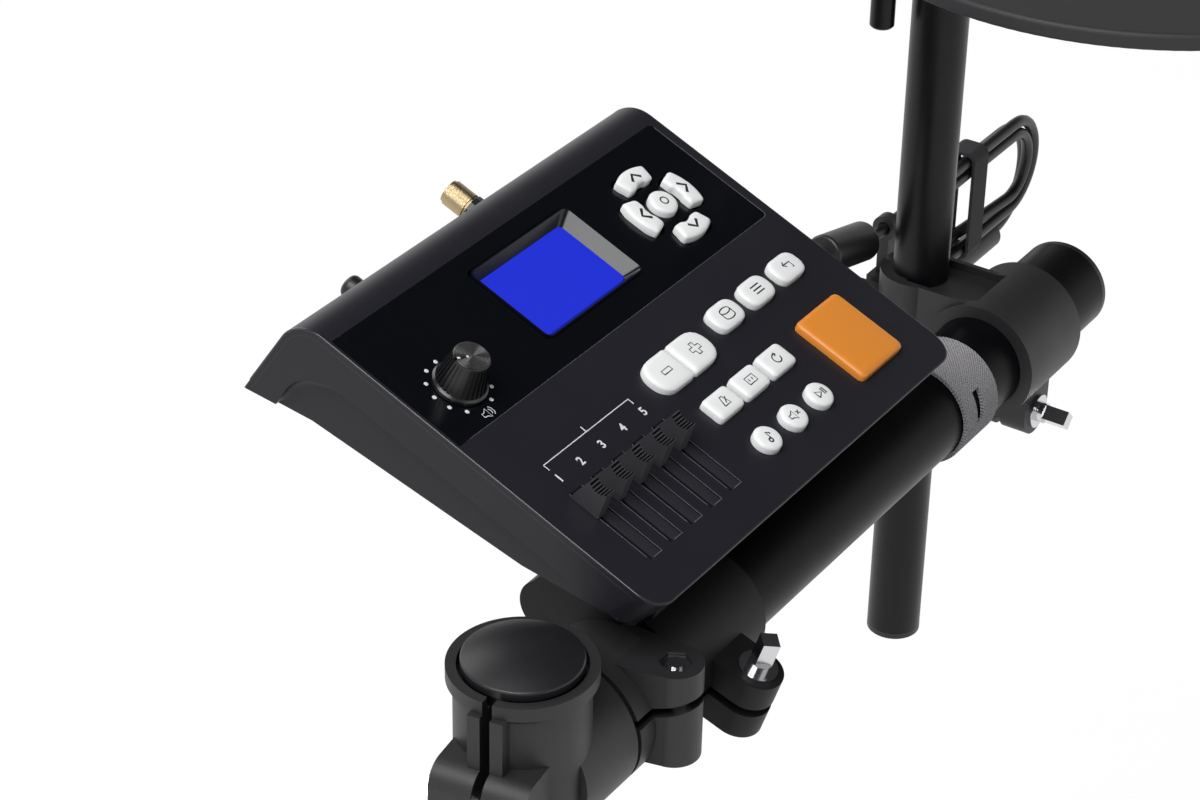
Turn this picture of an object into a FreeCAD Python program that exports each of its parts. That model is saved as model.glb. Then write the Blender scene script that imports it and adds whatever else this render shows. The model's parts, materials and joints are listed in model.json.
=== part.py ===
import FreeCAD, Part
import math
import os
import types
import Sketcher

# Sound module of an electronic drum kit on the corner of its tube rack. Lengths are in millimetres, angles
# in degrees. The origin is the centre of the upright tube's lower end, +Z runs up the tube, +X along the rail.
SIZES = {
    # rack tubes
    "tube_radius": "19.05", "tube_wall": "1.6", "tube_play": "0.15", "post_length": "233", "rail_height": "190.6",
    "rail_start": "22", "rail_length": "362", "arm_radius": "11.1", "arm_wall": "1.5", "arm_x": "328.1",
    "arm_y": "35.8", "arm_foot": "42", "arm_length": "312", "overrun": "1", "plug_length": "14",
    "plug_flange": "2.4", "slide_play": "0.08", "dome_angle": "66", "cap_skirt": "3", "cap_lap": "1.05",
    "foot_bore": "4",
    # corner joint
    "sleeve_wall": "3.45", "sleeve_foot": "152", "sleeve_top": "233.5", "rim_flare": "2.3", "rim_height": "5",
    "cap_recess": "2.25", "recess_depth": "5", "barrel_wall": "6.3", "barrel_end": "54.8", "groove_width": "2",
    "groove_depth": "1.8", "groove_start": "29.8", "rail_ear_left": "38", "rail_ear_back": "14.7",
    "rail_ear_top": "214", "rail_ear_foot": "177.5", "nose_x": "50.5", "nose_y": "26", "nose_radius": "9.5",
    "nose_touch": "198.7", "post_ear_height": "194", "post_ear_width": "28", "post_ear_reach": "25.5",
    "post_ear_front": "33", "post_ear_round": "8", "post_ear_half": "17", "post_ear_turn": "8", "flange_out": "4",
    "flange_thick": "4.5", "ear_tilt": "18", "slit": "3.5",
    # clamp fasteners
    "bolt_radius": "3", "bolt_play": "0.25", "bolt_head": "6", "head_length": "10", "neck_radius": "4.2",
    "neck_length": "3", "washer_radius": "7", "washer_thick": "1.5", "nut_radius": "5.6",
    "nut_recess": "4.5", "nut_play": "0.3", "bolt_tail": "2", "low_head": "5.2", "bolt_sink": "1",
    # module clamp and bracket, places in the panel's own frame
    "panel_x": "39.3", "panel_tilt": "22.8", "rail_back": "5", "rail_drop": "55.7", "clamp_start": "24",
    "clamp_length": "50", "clamp_wall": "4.35", "clamp_ear_width": "19", "clamp_ear_reach": "33",
    "clamp_ear_half": "12.4", "hub_back": "36.9", "hub_drop": "2", "hub_radius": "10.5",
    "saddle_drop": "32", "saddle_back": "44", "saddle_front": "8", "bracket_back": "120", "bracket_thick": "3.6",
    "bracket_inset": "3",
    # module casing
    "panel_width": "200", "panel_depth": "157.8", "panel_thick": "3", "wall": "2.5", "front_back": "6.9",
    "front_drop": "17.5", "knee_back": "49.9", "knee_drop": "27.7", "heel_back": "139.5", "heel_drop": "38",
    "rear_lean": "8.8", "rear_drop": "45.1", "base_thick": "2.5", "rear_round": "14.5", "corner_round": "9",
    "edge_round": "0.8", "cheek_depth": "4", "cheek_top": "15", "cheek_front": "11", "cheek_shoulder": "136",
    "cheek_heel": "150", "cheek_step": "8", "cheek_round": "16", "boss_radius": "3.2", "boss_inset": "12", "boss_front": "74",
    "boss_rear": "136", "board_drop": "10", "board_thick": "1.6", "board_front": "12", "board_back": "140",
    "board_inset": "9.5",
    # glossy inlay, display and volume knob
    "inlay_inset": "4.9", "inlay_back": "143.1", "inlay_depth": "56.6", "inlay_thick": "1.2", "inlay_round": "2",
    "fit_gap": "0.3", "lcd_x": "97.5", "lcd_shift": "2", "bezel_length": "59.6", "bezel_width": "37.7",
    "bezel_round": "3", "bezel_rise": "1.2", "bezel_drop": "6.5", "lcd_length": "50.6", "lcd_width": "29.9",
    "lcd_margin": "2.2", "lcd_thick": "3", "bezel_lip": "1.6", "bezel_sill": "1", "knob_x": "23.3",
    "knob_shift": "10.8", "knob_radius": "9.9", "knob_top": "6.5", "knob_waist": "9.2", "knob_skirt": "1.8",
    "knob_height": "14.6", "knob_gap": "0.4", "knob_round": "0.7", "flute_depth": "0.45",
    "flute_width": "0.8", "flute_count": "30", "notch_bearing": "156", "notch_width": "1.3", "notch_depth": "1.4",
    "shaft_radius": "3", "shaft_play": "0.05", "shaft_grip": "10", "pot_side": "16", "bush_radius": "4.5",
    # buttons
    "button_rise": "3.6", "button_sink": "4.6", "lip_width": "1", "lip_thick": "0.9", "lip_gap": "0.3",
    "button_edge": "1", "button_travel": "1.5", "travel_room": "0.3", "nav_inset": "38.5", "nav_shift": "1.1",
    "nav_step_x": "13.2", "nav_step_y": "14.3", "ok_radius": "5.75", "arrow_length": "17.4", "arrow_width": "8.6",
    "arrow_round": "2.4", "arrow_bite": "11", "row_inset": "24.8", "row_pitch": "20.8", "row_y": "65.2",
    "row_length": "16.2", "row_width": "11.1", "row_round": "4", "sign_x": "99", "sign_y": "62",
    "sign_length": "17.3", "sign_width": "15", "sign_round": "7", "sign_corner": "1.6", "sign_gap": "1",
    "square_x": "96",
    "square_pitch": "17.45", "square_y": "40.5", "square_length": "14.9", "square_width": "10.4",
    "square_round": "1.8", "round_y": "20.6", "round_radius": "5.5", "trigger_inset": "33.25", "trigger_y": "30.1",
    "trigger_length": "28.3", "trigger_width": "32", "trigger_round": "2.5", "switch_side": "4.5",
    # faders
    "fader_x": "17.2", "fader_pitch": "12.4", "fader_front": "15.6", "fader_back": "50.2", "band_width": "6.5",
    "band_shift": "2.6", "band_depth": "0.8", "slit_width": "1.8", "lever_width": "1.2", "lever_length": "4",
    "cap_x": "4.4", "cap_front": "37.4", "cap_back": "49.3", "cap_front_lean": "0.9", "cap_back_lean": "3.6",
    "cap_height": "11.2", "cap_dip": "1.7", "cap_gap": "0.3", "cap_y": "43.4", "fader_side": "8",
    "fader_room": "0.4", "cap_rib": "0.5", "rib_count": "6",
    # rear of the module
    "rear_axis_drop": "25", "power_x": "53", "power_radius": "4.5", "power_rise": "6.5", "power_sink": "4",
    "phones_x": "124", "socket_pitch": "24", "socket_count": "3", "line_drop": "5", "nut_out": "5.6", "nut_rise": "1.2",
    "adaptor_start": "3.6",
    "socket_bore": "3.25", "socket_body": "5", "socket_length": "22", "adaptor_radius": "5.15",
    "adaptor_length": "11", "adaptor_bore": "1.8", "adaptor_pin": "3.1", "adaptor_stem": "18", "adaptor_ring": "1.2",
    # arm clamp, rod holder and pad
    "arm_clamp_start": "311.3", "arm_clamp_length": "42", "arm_clamp_wall": "5.3", "arm_collar_wall": "5",
    "arm_collar_rise": "23", "arm_collar_drop": "20", "arm_block": "29", "tray_depth": "3", "tray_lip": "2.2",
    "arm_ear_width": "20", "arm_ear_reach": "34", "arm_ear_half": "13", "arm_lug_reach": "25",
    "arm_lug_half": "11", "arm_lug_width": "22", "clip_wall": "2.4", "clip_start": "334", "clip_width": "5",
    "rod_radius": "4.75", "rod_out": "22.5", "rod_bearing": "131", "rod_foot": "320", "rod_bend": "14",
    "holder_wall": "4.6", "holder_height": "18", "holder_top": "1", "rod_level": "364", "rod_play": "0.06",
    "pad_out": "89.7", "pad_bearing": "-65.4", "pad_radius": "112", "pad_base": "371", "pad_plate": "2.5",
    "pad_rim": "6.5", "pad_crown": "2", "pad_round": "1.6", "shell_radius": "50", "shell_taper": "7",
    "shell_depth": "22", "shell_wall": "3", "rod_reach": "62", "rubber_lap": "4", "boot_radius": "8",
    "boot_length": "32", "thumb_radius": "5.5", "thumb_length": "9", "thumb_gap": "3",
    # strap on the rail
    "strap_x": "264.5", "strap_width": "25", "strap_thick": "1.6", "strap_gap": "0.3", "strap_slot": "5",
    "strap_slot_length": "13", "strap_slot_x": "11", "strap_bearing": "165",
    # lead, choke, hank and plugs
    "cord_radius": "2.5", "strand_gap": "0.6", "hank_run": "75", "hank_fold": "15", "hank_x": "372",
    "lead_y": "56.5", "lead_z": "222", "jack_lift": "11.4", "choke_radius": "8", "choke_length": "32",
    "choke_round": "1.5", "choke_x": "278", "choke_rise": "11", "choke_span": "48", "lead_bow": "1.5",
    "cord_trim": "8", "cord_play": "0.3", "port_x": "150", "port_y": "85", "port_length": "36", "port_width": "16",
    "port_drop": "13", "port_round": "2", "neck_out": "9", "neck_wall": "1.6", "lead_start": "17",
    "tie_width": "12", "tie_thick": "1.4", "tie_gap": "0.3", "jack_radius": "6.2", "jack_length": "36",
    "jack_pin": "3.15", "jack_reach": "31",
}

FLAT_TURN = FreeCAD.Rotation()
X_TURN = FreeCAD.Rotation(FreeCAD.Vector(0, 1, 0), 90)
Y_TURN = FreeCAD.Rotation(FreeCAD.Vector(1, 0, 0), -90)
DOWN_TURN = FreeCAD.Rotation(FreeCAD.Vector(1, 0, 0), 180)
BACK_TURN = FreeCAD.Rotation(FreeCAD.Vector(0, 1, 0), -90)

doc = FreeCAD.newDocument("drum_module_corner")
sheet = doc.addObject("Spreadsheet::Sheet", "Sizes")
for row, (alias, number) in enumerate(SIZES.items(), start=1):
    sheet.set("A%d" % row, alias)
    sheet.set("B%d" % row, number)
    sheet.setAlias("B%d" % row, alias)
doc.recompute()


class Size:
    """A length together with the sheet expression that it is worked out from."""

    def __init__(self, value, text):
        self.value = value
        self.text = text

    def __add__(self, other):
        other = as_size(other)
        return Size(self.value + other.value, "(%s + %s)" % (self.text, other.text))

    def __sub__(self, other):
        other = as_size(other)
        return Size(self.value - other.value, "(%s - %s)" % (self.text, other.text))

    def __mul__(self, other):
        other = as_size(other)
        return Size(self.value * other.value, "(%s * %s)" % (self.text, other.text))

    def __truediv__(self, other):
        other = as_size(other)
        return Size(self.value / other.value, "(%s / %s)" % (self.text, other.text))

    def __neg__(self):
        return Size(-self.value, "(0 - %s)" % self.text)

    def sin(self):
        return Size(math.sin(math.radians(self.value)), "sin(%s * 1 deg)" % self.text)

    def cos(self):
        return Size(math.cos(math.radians(self.value)), "cos(%s * 1 deg)" % self.text)


def as_size(number):
    return number if isinstance(number, Size) else Size(number, repr(number))


d = types.SimpleNamespace(**{alias: Size(float(sheet.get(alias)), "Sizes." + alias) for alias in SIZES})
ZERO = as_size(0)
RULES = {}


def bind(thing, prop, size):
    """Sets a property and ties it to the sheet."""
    size = as_size(size)
    setattr(thing, prop, size.value)
    thing.setExpression(prop, size.text)


def place(thing, base, turn=FLAT_TURN, angle=None):
    """Puts an object at three sizes, turned; the turn's angle can be a size too."""
    base = [as_size(one) for one in base]
    thing.Placement = FreeCAD.Placement(FreeCAD.Vector(*[one.value for one in base]), turn)
    for axis, one in zip("xyz", base):
        thing.setExpression("Placement.Base." + axis, one.text)
    if angle is not None:
        thing.setExpression("Placement.Rotation.Angle", angle.text)
    return thing


# Solids made of primitives
def cylinder(label, radius, height, base=(0, 0, 0), turn=FLAT_TURN):
    thing = doc.addObject("Part::Cylinder", label)
    bind(thing, "Radius", radius)
    bind(thing, "Height", height)
    return place(thing, base, turn)


def cone(label, foot, top, height, base=(0, 0, 0), turn=FLAT_TURN):
    thing = doc.addObject("Part::Cone", label)
    bind(thing, "Radius1", foot)
    bind(thing, "Radius2", top)
    bind(thing, "Height", height)
    return place(thing, base, turn)


def box(label, low, high):
    thing = doc.addObject("Part::Box", label)
    low = [as_size(one) for one in low]
    for prop, start, end in zip(("Length", "Width", "Height"), low, high):
        bind(thing, prop, as_size(end) - start)
    return place(thing, low)


def prism(label, sides, radius, height, base, turn):
    thing = doc.addObject("Part::Prism", label)
    thing.Polygon = sides
    bind(thing, "Circumradius", radius)
    bind(thing, "Height", height)
    return place(thing, base, turn)


def fuse(label, things):
    thing = doc.addObject("Part::MultiFuse", label)
    thing.Shapes = things
    thing.Refine = True
    return thing


def cut(label, base, tools):
    thing = doc.addObject("Part::Cut", label)
    thing.Base = base
    thing.Tool = tools[0] if len(tools) == 1 else fuse(label + " cuts", tools)
    thing.Refine = True
    return thing


def group(label, things):
    thing = doc.addObject("Part::Compound", label)
    thing.Links = things
    return thing


# Bodies made of sketches
def new_body(label):
    return doc.addObject("PartDesign::Body", label)


def sketch(body, name, role, offset=ZERO):
    plane = next(one for one in body.Origin.OriginFeatures if one.Role == role)
    thing = body.newObject("Sketcher::SketchObject", name)
    thing.AttachmentSupport = [(plane, "")]
    thing.MapMode = "FlatFace"
    thing.AttachmentOffset = FreeCAD.Placement(FreeCAD.Vector(0, 0, offset.value), FLAT_TURN)
    thing.setExpression("AttachmentOffset.Base.z", offset.text)
    return thing


def constrain(drawing, kind, *args):
    """Notes one geometric constraint for the drawing."""
    RULES.setdefault(drawing.Name, []).append((Sketcher.Constraint(kind, *args), None))


def dimension(drawing, kind, *args):
    """Notes one driving dimension, whose last argument is a size."""
    size = as_size(args[-1])
    rule = Sketcher.Constraint(kind, *args[:-1], size.value)
    RULES.setdefault(drawing.Name, []).append((rule, size.text))


def settle(drawing):
    """Adds the drawing's constraints in one go and ties its dimensions to the sheet."""
    rules = RULES.pop(drawing.Name)
    drawing.addConstraint([rule for rule, text in rules])
    for index, (rule, text) in enumerate(rules):
        if text:
            drawing.setExpression("Constraints[%d]" % index, text)
    drawing.Visibility = False


def hold(drawing, geometry, point, across, up):
    """Ties a sketch point to two sizes measured from the sketch's origin."""
    dimension(drawing, "DistanceX", -1, 1, geometry, point, across)
    dimension(drawing, "DistanceY", -1, 1, geometry, point, up)


def vector(across, up):
    return FreeCAD.Vector(as_size(across).value, as_size(up).value, 0)


def draw_loop(drawing, points):
    """Closed loop of straight sides."""
    first = drawing.GeometryCount
    ends = points[1:] + points[:1]
    for start, end in zip(points, ends):
        drawing.addGeometry(Part.LineSegment(vector(*start), vector(*end)))
    for index in range(len(points)):
        after = (index + 1) % len(points)
        constrain(drawing, "Coincident", first + index, 2, first + after, 1)
    for index, (across, up) in enumerate(points):
        hold(drawing, first + index, 1, across, up)


def draw_rectangle(drawing, middle, length, width):
    left = middle[0] - length / 2
    low = middle[1] - width / 2
    right = left + length
    high = low + width
    draw_loop(drawing, [(left, low), (right, low), (right, high), (left, high)])


def draw_circle(drawing, across, up, radius):
    index = drawing.addGeometry(Part.Circle(vector(across, up), FreeCAD.Vector(0, 0, 1), as_size(radius).value))
    hold(drawing, index, 3, as_size(across), as_size(up))
    dimension(drawing, "Radius", index, radius)


def draw_rounded(drawing, middle, length, width, radius):
    """Rectangle with four tangent corner arcs."""
    first = drawing.GeometryCount
    x, y = as_size(middle[0]).value, as_size(middle[1]).value
    a, b, r = length.value / 2, width.value / 2, radius.value
    corners = [(x + a - r, y - b + r), (x + a - r, y + b - r), (x - a + r, y + b - r), (x - a + r, y - b + r)]
    sides = [((x - a + r, y - b), (x + a - r, y - b)), ((x + a, y - b + r), (x + a, y + b - r)),
             ((x + a - r, y + b), (x - a + r, y + b)), ((x - a, y + b - r), (x - a, y - b + r))]
    for index in range(4):
        start, end = sides[index]
        drawing.addGeometry(Part.LineSegment(FreeCAD.Vector(*start, 0), FreeCAD.Vector(*end, 0)))
        circle = Part.Circle(FreeCAD.Vector(*corners[index], 0), FreeCAD.Vector(0, 0, 1), r)
        turn = math.pi / 2 * (index - 1)
        drawing.addGeometry(Part.ArcOfCircle(circle, turn, turn + math.pi / 2))
    for index in range(4):
        line, arc, after = first + 2 * index, first + 2 * index + 1, first + (2 * index + 2) % 8
        constrain(drawing, "Tangent", line, 2, arc, 1)
        constrain(drawing, "Tangent", arc, 2, after, 1)
        constrain(drawing, "Vertical" if index % 2 else "Horizontal", line)
        if index:
            constrain(drawing, "Equal", first + 1, arc)
    dimension(drawing, "Radius", first + 1, radius)
    dimension(drawing, "DistanceX", first + 4, 2, first, 2, length - radius * 2)
    dimension(drawing, "DistanceY", first + 2, 1, first + 2, 2, width - radius * 2)
    hold(drawing, first + 1, 3, middle[0] + length / 2 - radius, middle[1] - width / 2 + radius)


def extrude(body, kind, drawing, length, reverse=False, symmetric=False, taper=None):
    settle(drawing)
    thing = body.newObject("PartDesign::" + kind, kind)
    thing.Profile = drawing
    bind(thing, "Length", length)
    thing.Reversed = reverse
    if symmetric:
        thing.SideType = "Symmetric"
    if taper is not None:
        thing.TaperAngle = taper
    doc.recompute()
    return thing


def revolve(body, drawing):
    settle(drawing)
    thing = body.newObject("PartDesign::Revolution", "Revolution")
    thing.Profile = drawing
    thing.ReferenceAxis = (drawing, ["V_Axis"])
    thing.Angle = 360
    doc.recompute()
    return thing


def dress(body, kind, wanted, size):
    """Fillets or chamfers the edges of the body's last feature that a test picks."""
    base = body.Tip
    names = ["Edge%d" % (index + 1) for index, edge in enumerate(base.Shape.Edges) if wanted(edge)]
    thing = body.newObject("PartDesign::" + kind, kind)
    thing.Base = (base, names)
    bind(thing, "Radius" if kind == "Fillet" else "Size", size)
    doc.recompute()
    return thing


def runs_along(edge, axis):
    """True for a straight edge along one axis of its body."""
    box_of = edge.BoundBox
    spans = {"x": box_of.XLength, "y": box_of.YLength, "z": box_of.ZLength}
    across = sum(span for name, span in spans.items() if name != axis)
    return spans[axis] > across * 1000 and len(edge.Vertexes) == 2


def at_height(edge, height):
    box_of = edge.BoundBox
    return abs(box_of.ZMin - height.value) < d.fit_gap.value / 100 and box_of.ZLength < d.fit_gap.value / 100


# Frame of the panel: its front left corner, leaning back over the rail
PANEL_BASE = (d.panel_x,
              -(d.rail_back * d.panel_tilt.cos()) - d.rail_drop * d.panel_tilt.sin(),
              d.rail_height - d.rail_back * d.panel_tilt.sin() + d.rail_drop * d.panel_tilt.cos())
PANEL_TURN = FreeCAD.Rotation(FreeCAD.Vector(1, 0, 0), d.panel_tilt.value)


def on_panel(thing):
    return place(thing, PANEL_BASE, PANEL_TURN, d.panel_tilt)


def panel_group(label, things):
    return on_panel(group(label, things))


# Places on the panel
inlay_middle = d.inlay_back - d.inlay_depth / 2
nav = (d.panel_width - d.nav_inset, inlay_middle - d.nav_shift)
lcd = (d.lcd_x, inlay_middle + d.lcd_shift)
knob = (d.knob_x, inlay_middle - d.knob_shift)
row_end = d.panel_width - d.row_inset
trigger = (d.panel_width - d.trigger_inset, d.trigger_y)
sign_step = (d.sign_length + d.sign_gap) / 2
faders = [d.fader_x + d.fader_pitch * index for index in range(5)]
fader_middle = (d.fader_front + d.fader_back) / 2
fader_length = d.fader_back - d.fader_front
base_step = d.base_thick / d.front_drop
BUTTONS = {
    "button_up": ("arrow", (nav[0], nav[1] + d.nav_step_y), d.arrow_length, d.arrow_width, d.arrow_round),
    "button_down": ("arrow", (nav[0], nav[1] - d.nav_step_y), d.arrow_length, d.arrow_width, d.arrow_round),
    "button_left": ("arrow", (nav[0] - d.nav_step_x, nav[1]), d.arrow_width, d.arrow_length, d.arrow_round),
    "button_right": ("arrow", (nav[0] + d.nav_step_x, nav[1]), d.arrow_width, d.arrow_length, d.arrow_round),
    "button_minus": ("left", (d.sign_x - sign_step, d.sign_y), d.sign_length, d.sign_width, d.sign_round),
    "button_plus": ("right", (d.sign_x + sign_step, d.sign_y), d.sign_length, d.sign_width, d.sign_round),
    "button_kit": ("plain", (row_end - d.row_pitch * 2, d.row_y), d.row_length, d.row_width, d.row_round),
    "button_list": ("plain", (row_end - d.row_pitch, d.row_y), d.row_length, d.row_width, d.row_round),
    "button_return": ("plain", (row_end, d.row_y), d.row_length, d.row_width, d.row_round),
    "button_trigger": ("plain", trigger, d.trigger_length, d.trigger_width, d.trigger_round),
}
for index, name in enumerate(("button_beat", "button_practice", "button_repeat")):
    middle = (d.square_x + d.square_pitch * index, d.square_y)
    BUTTONS[name] = ("plain", middle, d.square_length, d.square_width, d.square_round)
ROUND_BUTTONS = {"button_ok": (nav, d.ok_radius)}
for index, name in enumerate(("button_song", "button_silence", "button_play")):
    ROUND_BUTTONS[name] = ((d.square_x + d.square_pitch * index, d.round_y), d.round_radius)

INNER_SIDES = {"left": 1, "right": -1}


def inner_half(kind, middle, length):
    """Middle of the half of a paired key that meets its neighbour."""
    return (middle[0] + length / 4 * INNER_SIDES[kind], middle[1])


# Casing
def top_shell():
    """Hollow wedge with a rounded back, stepped cheeks and the panel's openings."""
    body = new_body("top_shell")
    side = sketch(body, "side profile", "YZ_Plane")
    front = d.front_back - d.front_back * base_step
    heel = d.panel_depth + d.rear_lean
    part_heel = heel - d.rear_lean * d.base_thick / d.rear_drop
    draw_loop(side, [(ZERO, ZERO), (d.panel_depth, ZERO), (part_heel, d.base_thick - d.rear_drop),
                     (d.heel_back, d.base_thick - d.heel_drop), (d.knee_back, d.base_thick - d.knee_drop),
                     (front, d.base_thick - d.front_drop)])
    extrude(body, "Pad", side, d.panel_width)
    dress(body, "Fillet", lambda e: runs_along(e, "x") and e.BoundBox.ZMax > -d.wall.value
          and e.BoundBox.YMin > d.heel_back.value, d.rear_round)
    dress(body, "Fillet", lambda e: len(e.Vertexes) == 2 and e.BoundBox.YMax < d.front_back.value
          and e.BoundBox.XLength < d.wall.value and e.BoundBox.ZLength > d.wall.value, d.corner_round)
    dress(body, "Fillet", lambda e: e.BoundBox.ZMin > -d.edge_round.value
          and e.BoundBox.YMin < d.heel_back.value, d.edge_round)
    cheek = [(d.cheek_front, -d.cheek_top), (d.cheek_shoulder, -d.cheek_top),
             (d.cheek_heel, -d.cheek_top - d.cheek_step), (d.cheek_heel + d.cheek_depth, -d.rear_drop - d.wall),
             (d.cheek_front, -d.rear_drop - d.wall)]
    for offset, reverse in ((ZERO, True), (d.panel_width, False)):
        step = sketch(body, "cheek step", "YZ_Plane", offset)
        draw_loop(step, cheek)
        extrude(body, "Pocket", step, d.cheek_depth, reverse)
    dress(body, "Fillet", lambda e: runs_along(e, "x") and e.BoundBox.XLength < d.cheek_depth.value + d.edge_round.value
          and e.BoundBox.YMin > d.cheek_shoulder.value - d.edge_round.value
          and e.BoundBox.YMax < d.cheek_heel.value + d.edge_round.value, d.cheek_round)
    hollow = sketch(body, "hollow", "YZ_Plane", d.panel_width / 2)
    lean = d.front_back / d.front_drop
    inner_front = d.wall * 2 - d.panel_thick / 3
    floor = d.rear_drop + d.wall
    inner_heel = d.panel_depth - d.wall + d.rear_lean * d.rear_round / d.rear_drop
    draw_loop(hollow, [(inner_front, -d.panel_thick), (d.panel_depth - d.rear_round, -d.panel_thick),
                       (inner_heel, -d.rear_round - d.edge_round), (heel - d.wall, -floor),
                       (inner_front + (floor - d.panel_thick) * lean, -floor)])
    inside = d.panel_width - (d.cheek_depth + d.wall) * 2
    extrude(body, "Pocket", hollow, inside, symmetric=True)
    bosses = sketch(body, "bosses", "XY_Plane", -d.panel_thick)
    for across in (d.boss_inset, d.panel_width - d.boss_inset):
        for up in (d.boss_front, d.boss_rear):
            draw_circle(bosses, across, up, d.boss_radius)
    extrude(body, "Pad", bosses, d.board_drop - d.panel_thick, True)
    panel_openings(body)
    return on_panel(body)


def panel_openings(body):
    """Inlay recess, display window, button holes, fader slits and rear holes."""
    recess = sketch(body, "inlay recess", "XY_Plane")
    draw_rounded(recess, (d.panel_width / 2, inlay_middle), d.panel_width - d.inlay_inset * 2, d.inlay_depth,
                 d.inlay_round)
    extrude(body, "Pocket", recess, d.inlay_thick)
    window = sketch(body, "window and holes", "XY_Plane")
    draw_rounded(window, lcd, d.bezel_length + d.fit_gap * 2, d.bezel_width + d.fit_gap * 2, d.bezel_round)
    draw_circle(window, knob[0], knob[1], d.bush_radius + d.fit_gap)
    button_holes(window, BUTTONS, ROUND_BUTTONS)
    for across in faders:
        draw_rectangle(window, (across, fader_middle), d.slit_width, fader_length)
    extrude(body, "Pocket", window, d.panel_thick + d.overrun)
    inner = sketch(body, "paired key holes", "XY_Plane")
    for kind, middle, length, width, radius in BUTTONS.values():
        if kind in INNER_SIDES:
            draw_rounded(inner, inner_half(kind, middle, length), length / 2 + d.fit_gap * 2, width + d.fit_gap * 2,
                         d.sign_corner + d.fit_gap)
    extrude(body, "Pocket", inner, d.panel_thick + d.overrun)
    bands = sketch(body, "fader bands", "XY_Plane")
    for across in faders:
        draw_rectangle(bands, (across + d.band_shift, fader_middle), d.band_width, fader_length)
    extrude(body, "Pocket", bands, d.band_depth)
    rear = sketch(body, "rear holes", "XZ_Plane", -d.panel_depth - d.rear_lean - d.overrun)
    draw_circle(rear, d.power_x, -d.rear_axis_drop, d.power_radius + d.fit_gap)
    for index in range(int(d.socket_count.value)):
        drop = d.rear_axis_drop + (d.line_drop if index else ZERO)
        draw_circle(rear, d.phones_x + d.socket_pitch * index, -drop, d.nut_out + d.fit_gap)
    extrude(body, "Pocket", rear, d.rear_lean + d.rear_round, True)


def button_holes(drawing, plain, circles):
    for kind, middle, length, width, radius in plain.values():
        draw_rounded(drawing, middle, length + d.fit_gap * 2, width + d.fit_gap * 2, radius + d.fit_gap)
    for middle, radius in circles.values():
        draw_circle(drawing, middle[0], middle[1], radius + d.fit_gap)


def bottom_shell():
    """Bent tray that closes the casing below its parting line."""
    body = new_body("bottom_shell")
    side = sketch(body, "side profile", "YZ_Plane", d.cheek_depth)
    heel = d.panel_depth + d.rear_lean
    lift = d.base_thick
    front = d.front_back - d.front_back * base_step
    draw_loop(side, [(front, lift - d.front_drop), (d.knee_back, lift - d.knee_drop),
                     (d.heel_back, lift - d.heel_drop),
                     (heel - d.rear_lean * d.base_thick / d.rear_drop, lift - d.rear_drop), (heel, -d.rear_drop),
                     (d.heel_back, -d.heel_drop), (d.knee_back, -d.knee_drop), (d.front_back, -d.front_drop)])
    extrude(body, "Pad", side, d.panel_width - d.cheek_depth * 2)
    dress(body, "Fillet", lambda e: len(e.Vertexes) == 2 and e.BoundBox.XLength < d.edge_round.value
          and e.BoundBox.YMax < d.knee_back.value / 2 and e.BoundBox.YLength < d.wall.value, d.wall)
    return on_panel(body)


def gloss_panel():
    body = new_body("gloss_panel")
    outline = sketch(body, "outline", "XY_Plane", -d.inlay_thick)
    draw_rounded(outline, (d.panel_width / 2, inlay_middle), d.panel_width - d.inlay_inset * 2, d.inlay_depth,
                 d.inlay_round)
    extrude(body, "Pad", outline, d.inlay_thick)
    holes = sketch(body, "holes", "XY_Plane")
    draw_rounded(holes, lcd, d.bezel_length + d.fit_gap * 2, d.bezel_width + d.fit_gap * 2, d.bezel_round)
    draw_circle(holes, knob[0], knob[1], d.bush_radius + d.fit_gap)
    arrows = {name: row for name, row in BUTTONS.items() if row[0] == "arrow"}
    button_holes(holes, arrows, {"button_ok": ROUND_BUTTONS["button_ok"]})
    extrude(body, "Pocket", holes, d.inlay_thick + d.overrun)
    return on_panel(body)


def lcd_bezel():
    """Raised frame whose inner walls slope down to the display."""
    body = new_body("lcd_bezel")
    outline = sketch(body, "outline", "XY_Plane", -d.bezel_drop)
    draw_rounded(outline, lcd, d.bezel_length, d.bezel_width, d.bezel_round)
    extrude(body, "Pad", outline, d.bezel_drop + d.bezel_rise)
    dress(body, "Fillet", lambda e: at_height(e, d.bezel_rise), d.edge_round)
    well = sketch(body, "well", "XY_Plane", d.bezel_rise)
    deep = d.bezel_drop + d.bezel_rise - d.bezel_sill
    spread = ((d.bezel_width - d.bezel_lip * 2 - d.lcd_width) / 2).value
    draw_rectangle(well, lcd, d.bezel_length - d.bezel_lip * 2, d.bezel_width - d.bezel_lip * 2)
    extrude(body, "Pocket", well, deep, taper=-math.degrees(math.atan2(spread, deep.value)))
    window = sketch(body, "window", "XY_Plane", -d.bezel_drop + d.bezel_sill + d.overrun)
    draw_rectangle(window, lcd, d.lcd_length, d.lcd_width)
    extrude(body, "Pocket", window, d.bezel_sill + d.overrun * 2)
    return on_panel(body)


def lcd_screen():
    length = d.lcd_length + d.lcd_margin * 2
    width = d.lcd_width + d.lcd_margin * 2
    low = (lcd[0] - length / 2, lcd[1] - width / 2, -d.bezel_drop - d.lcd_thick)
    return panel_group("lcd_screen", [box("display glass", low, (low[0] + length, low[1] + width, -d.bezel_drop))])


def main_board():
    low = (d.board_inset, d.board_front, -d.board_drop - d.board_thick)
    board = box("board", low, (d.panel_width - d.board_inset, d.board_back, -d.board_drop))
    return panel_group("main_board", [board])


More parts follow.
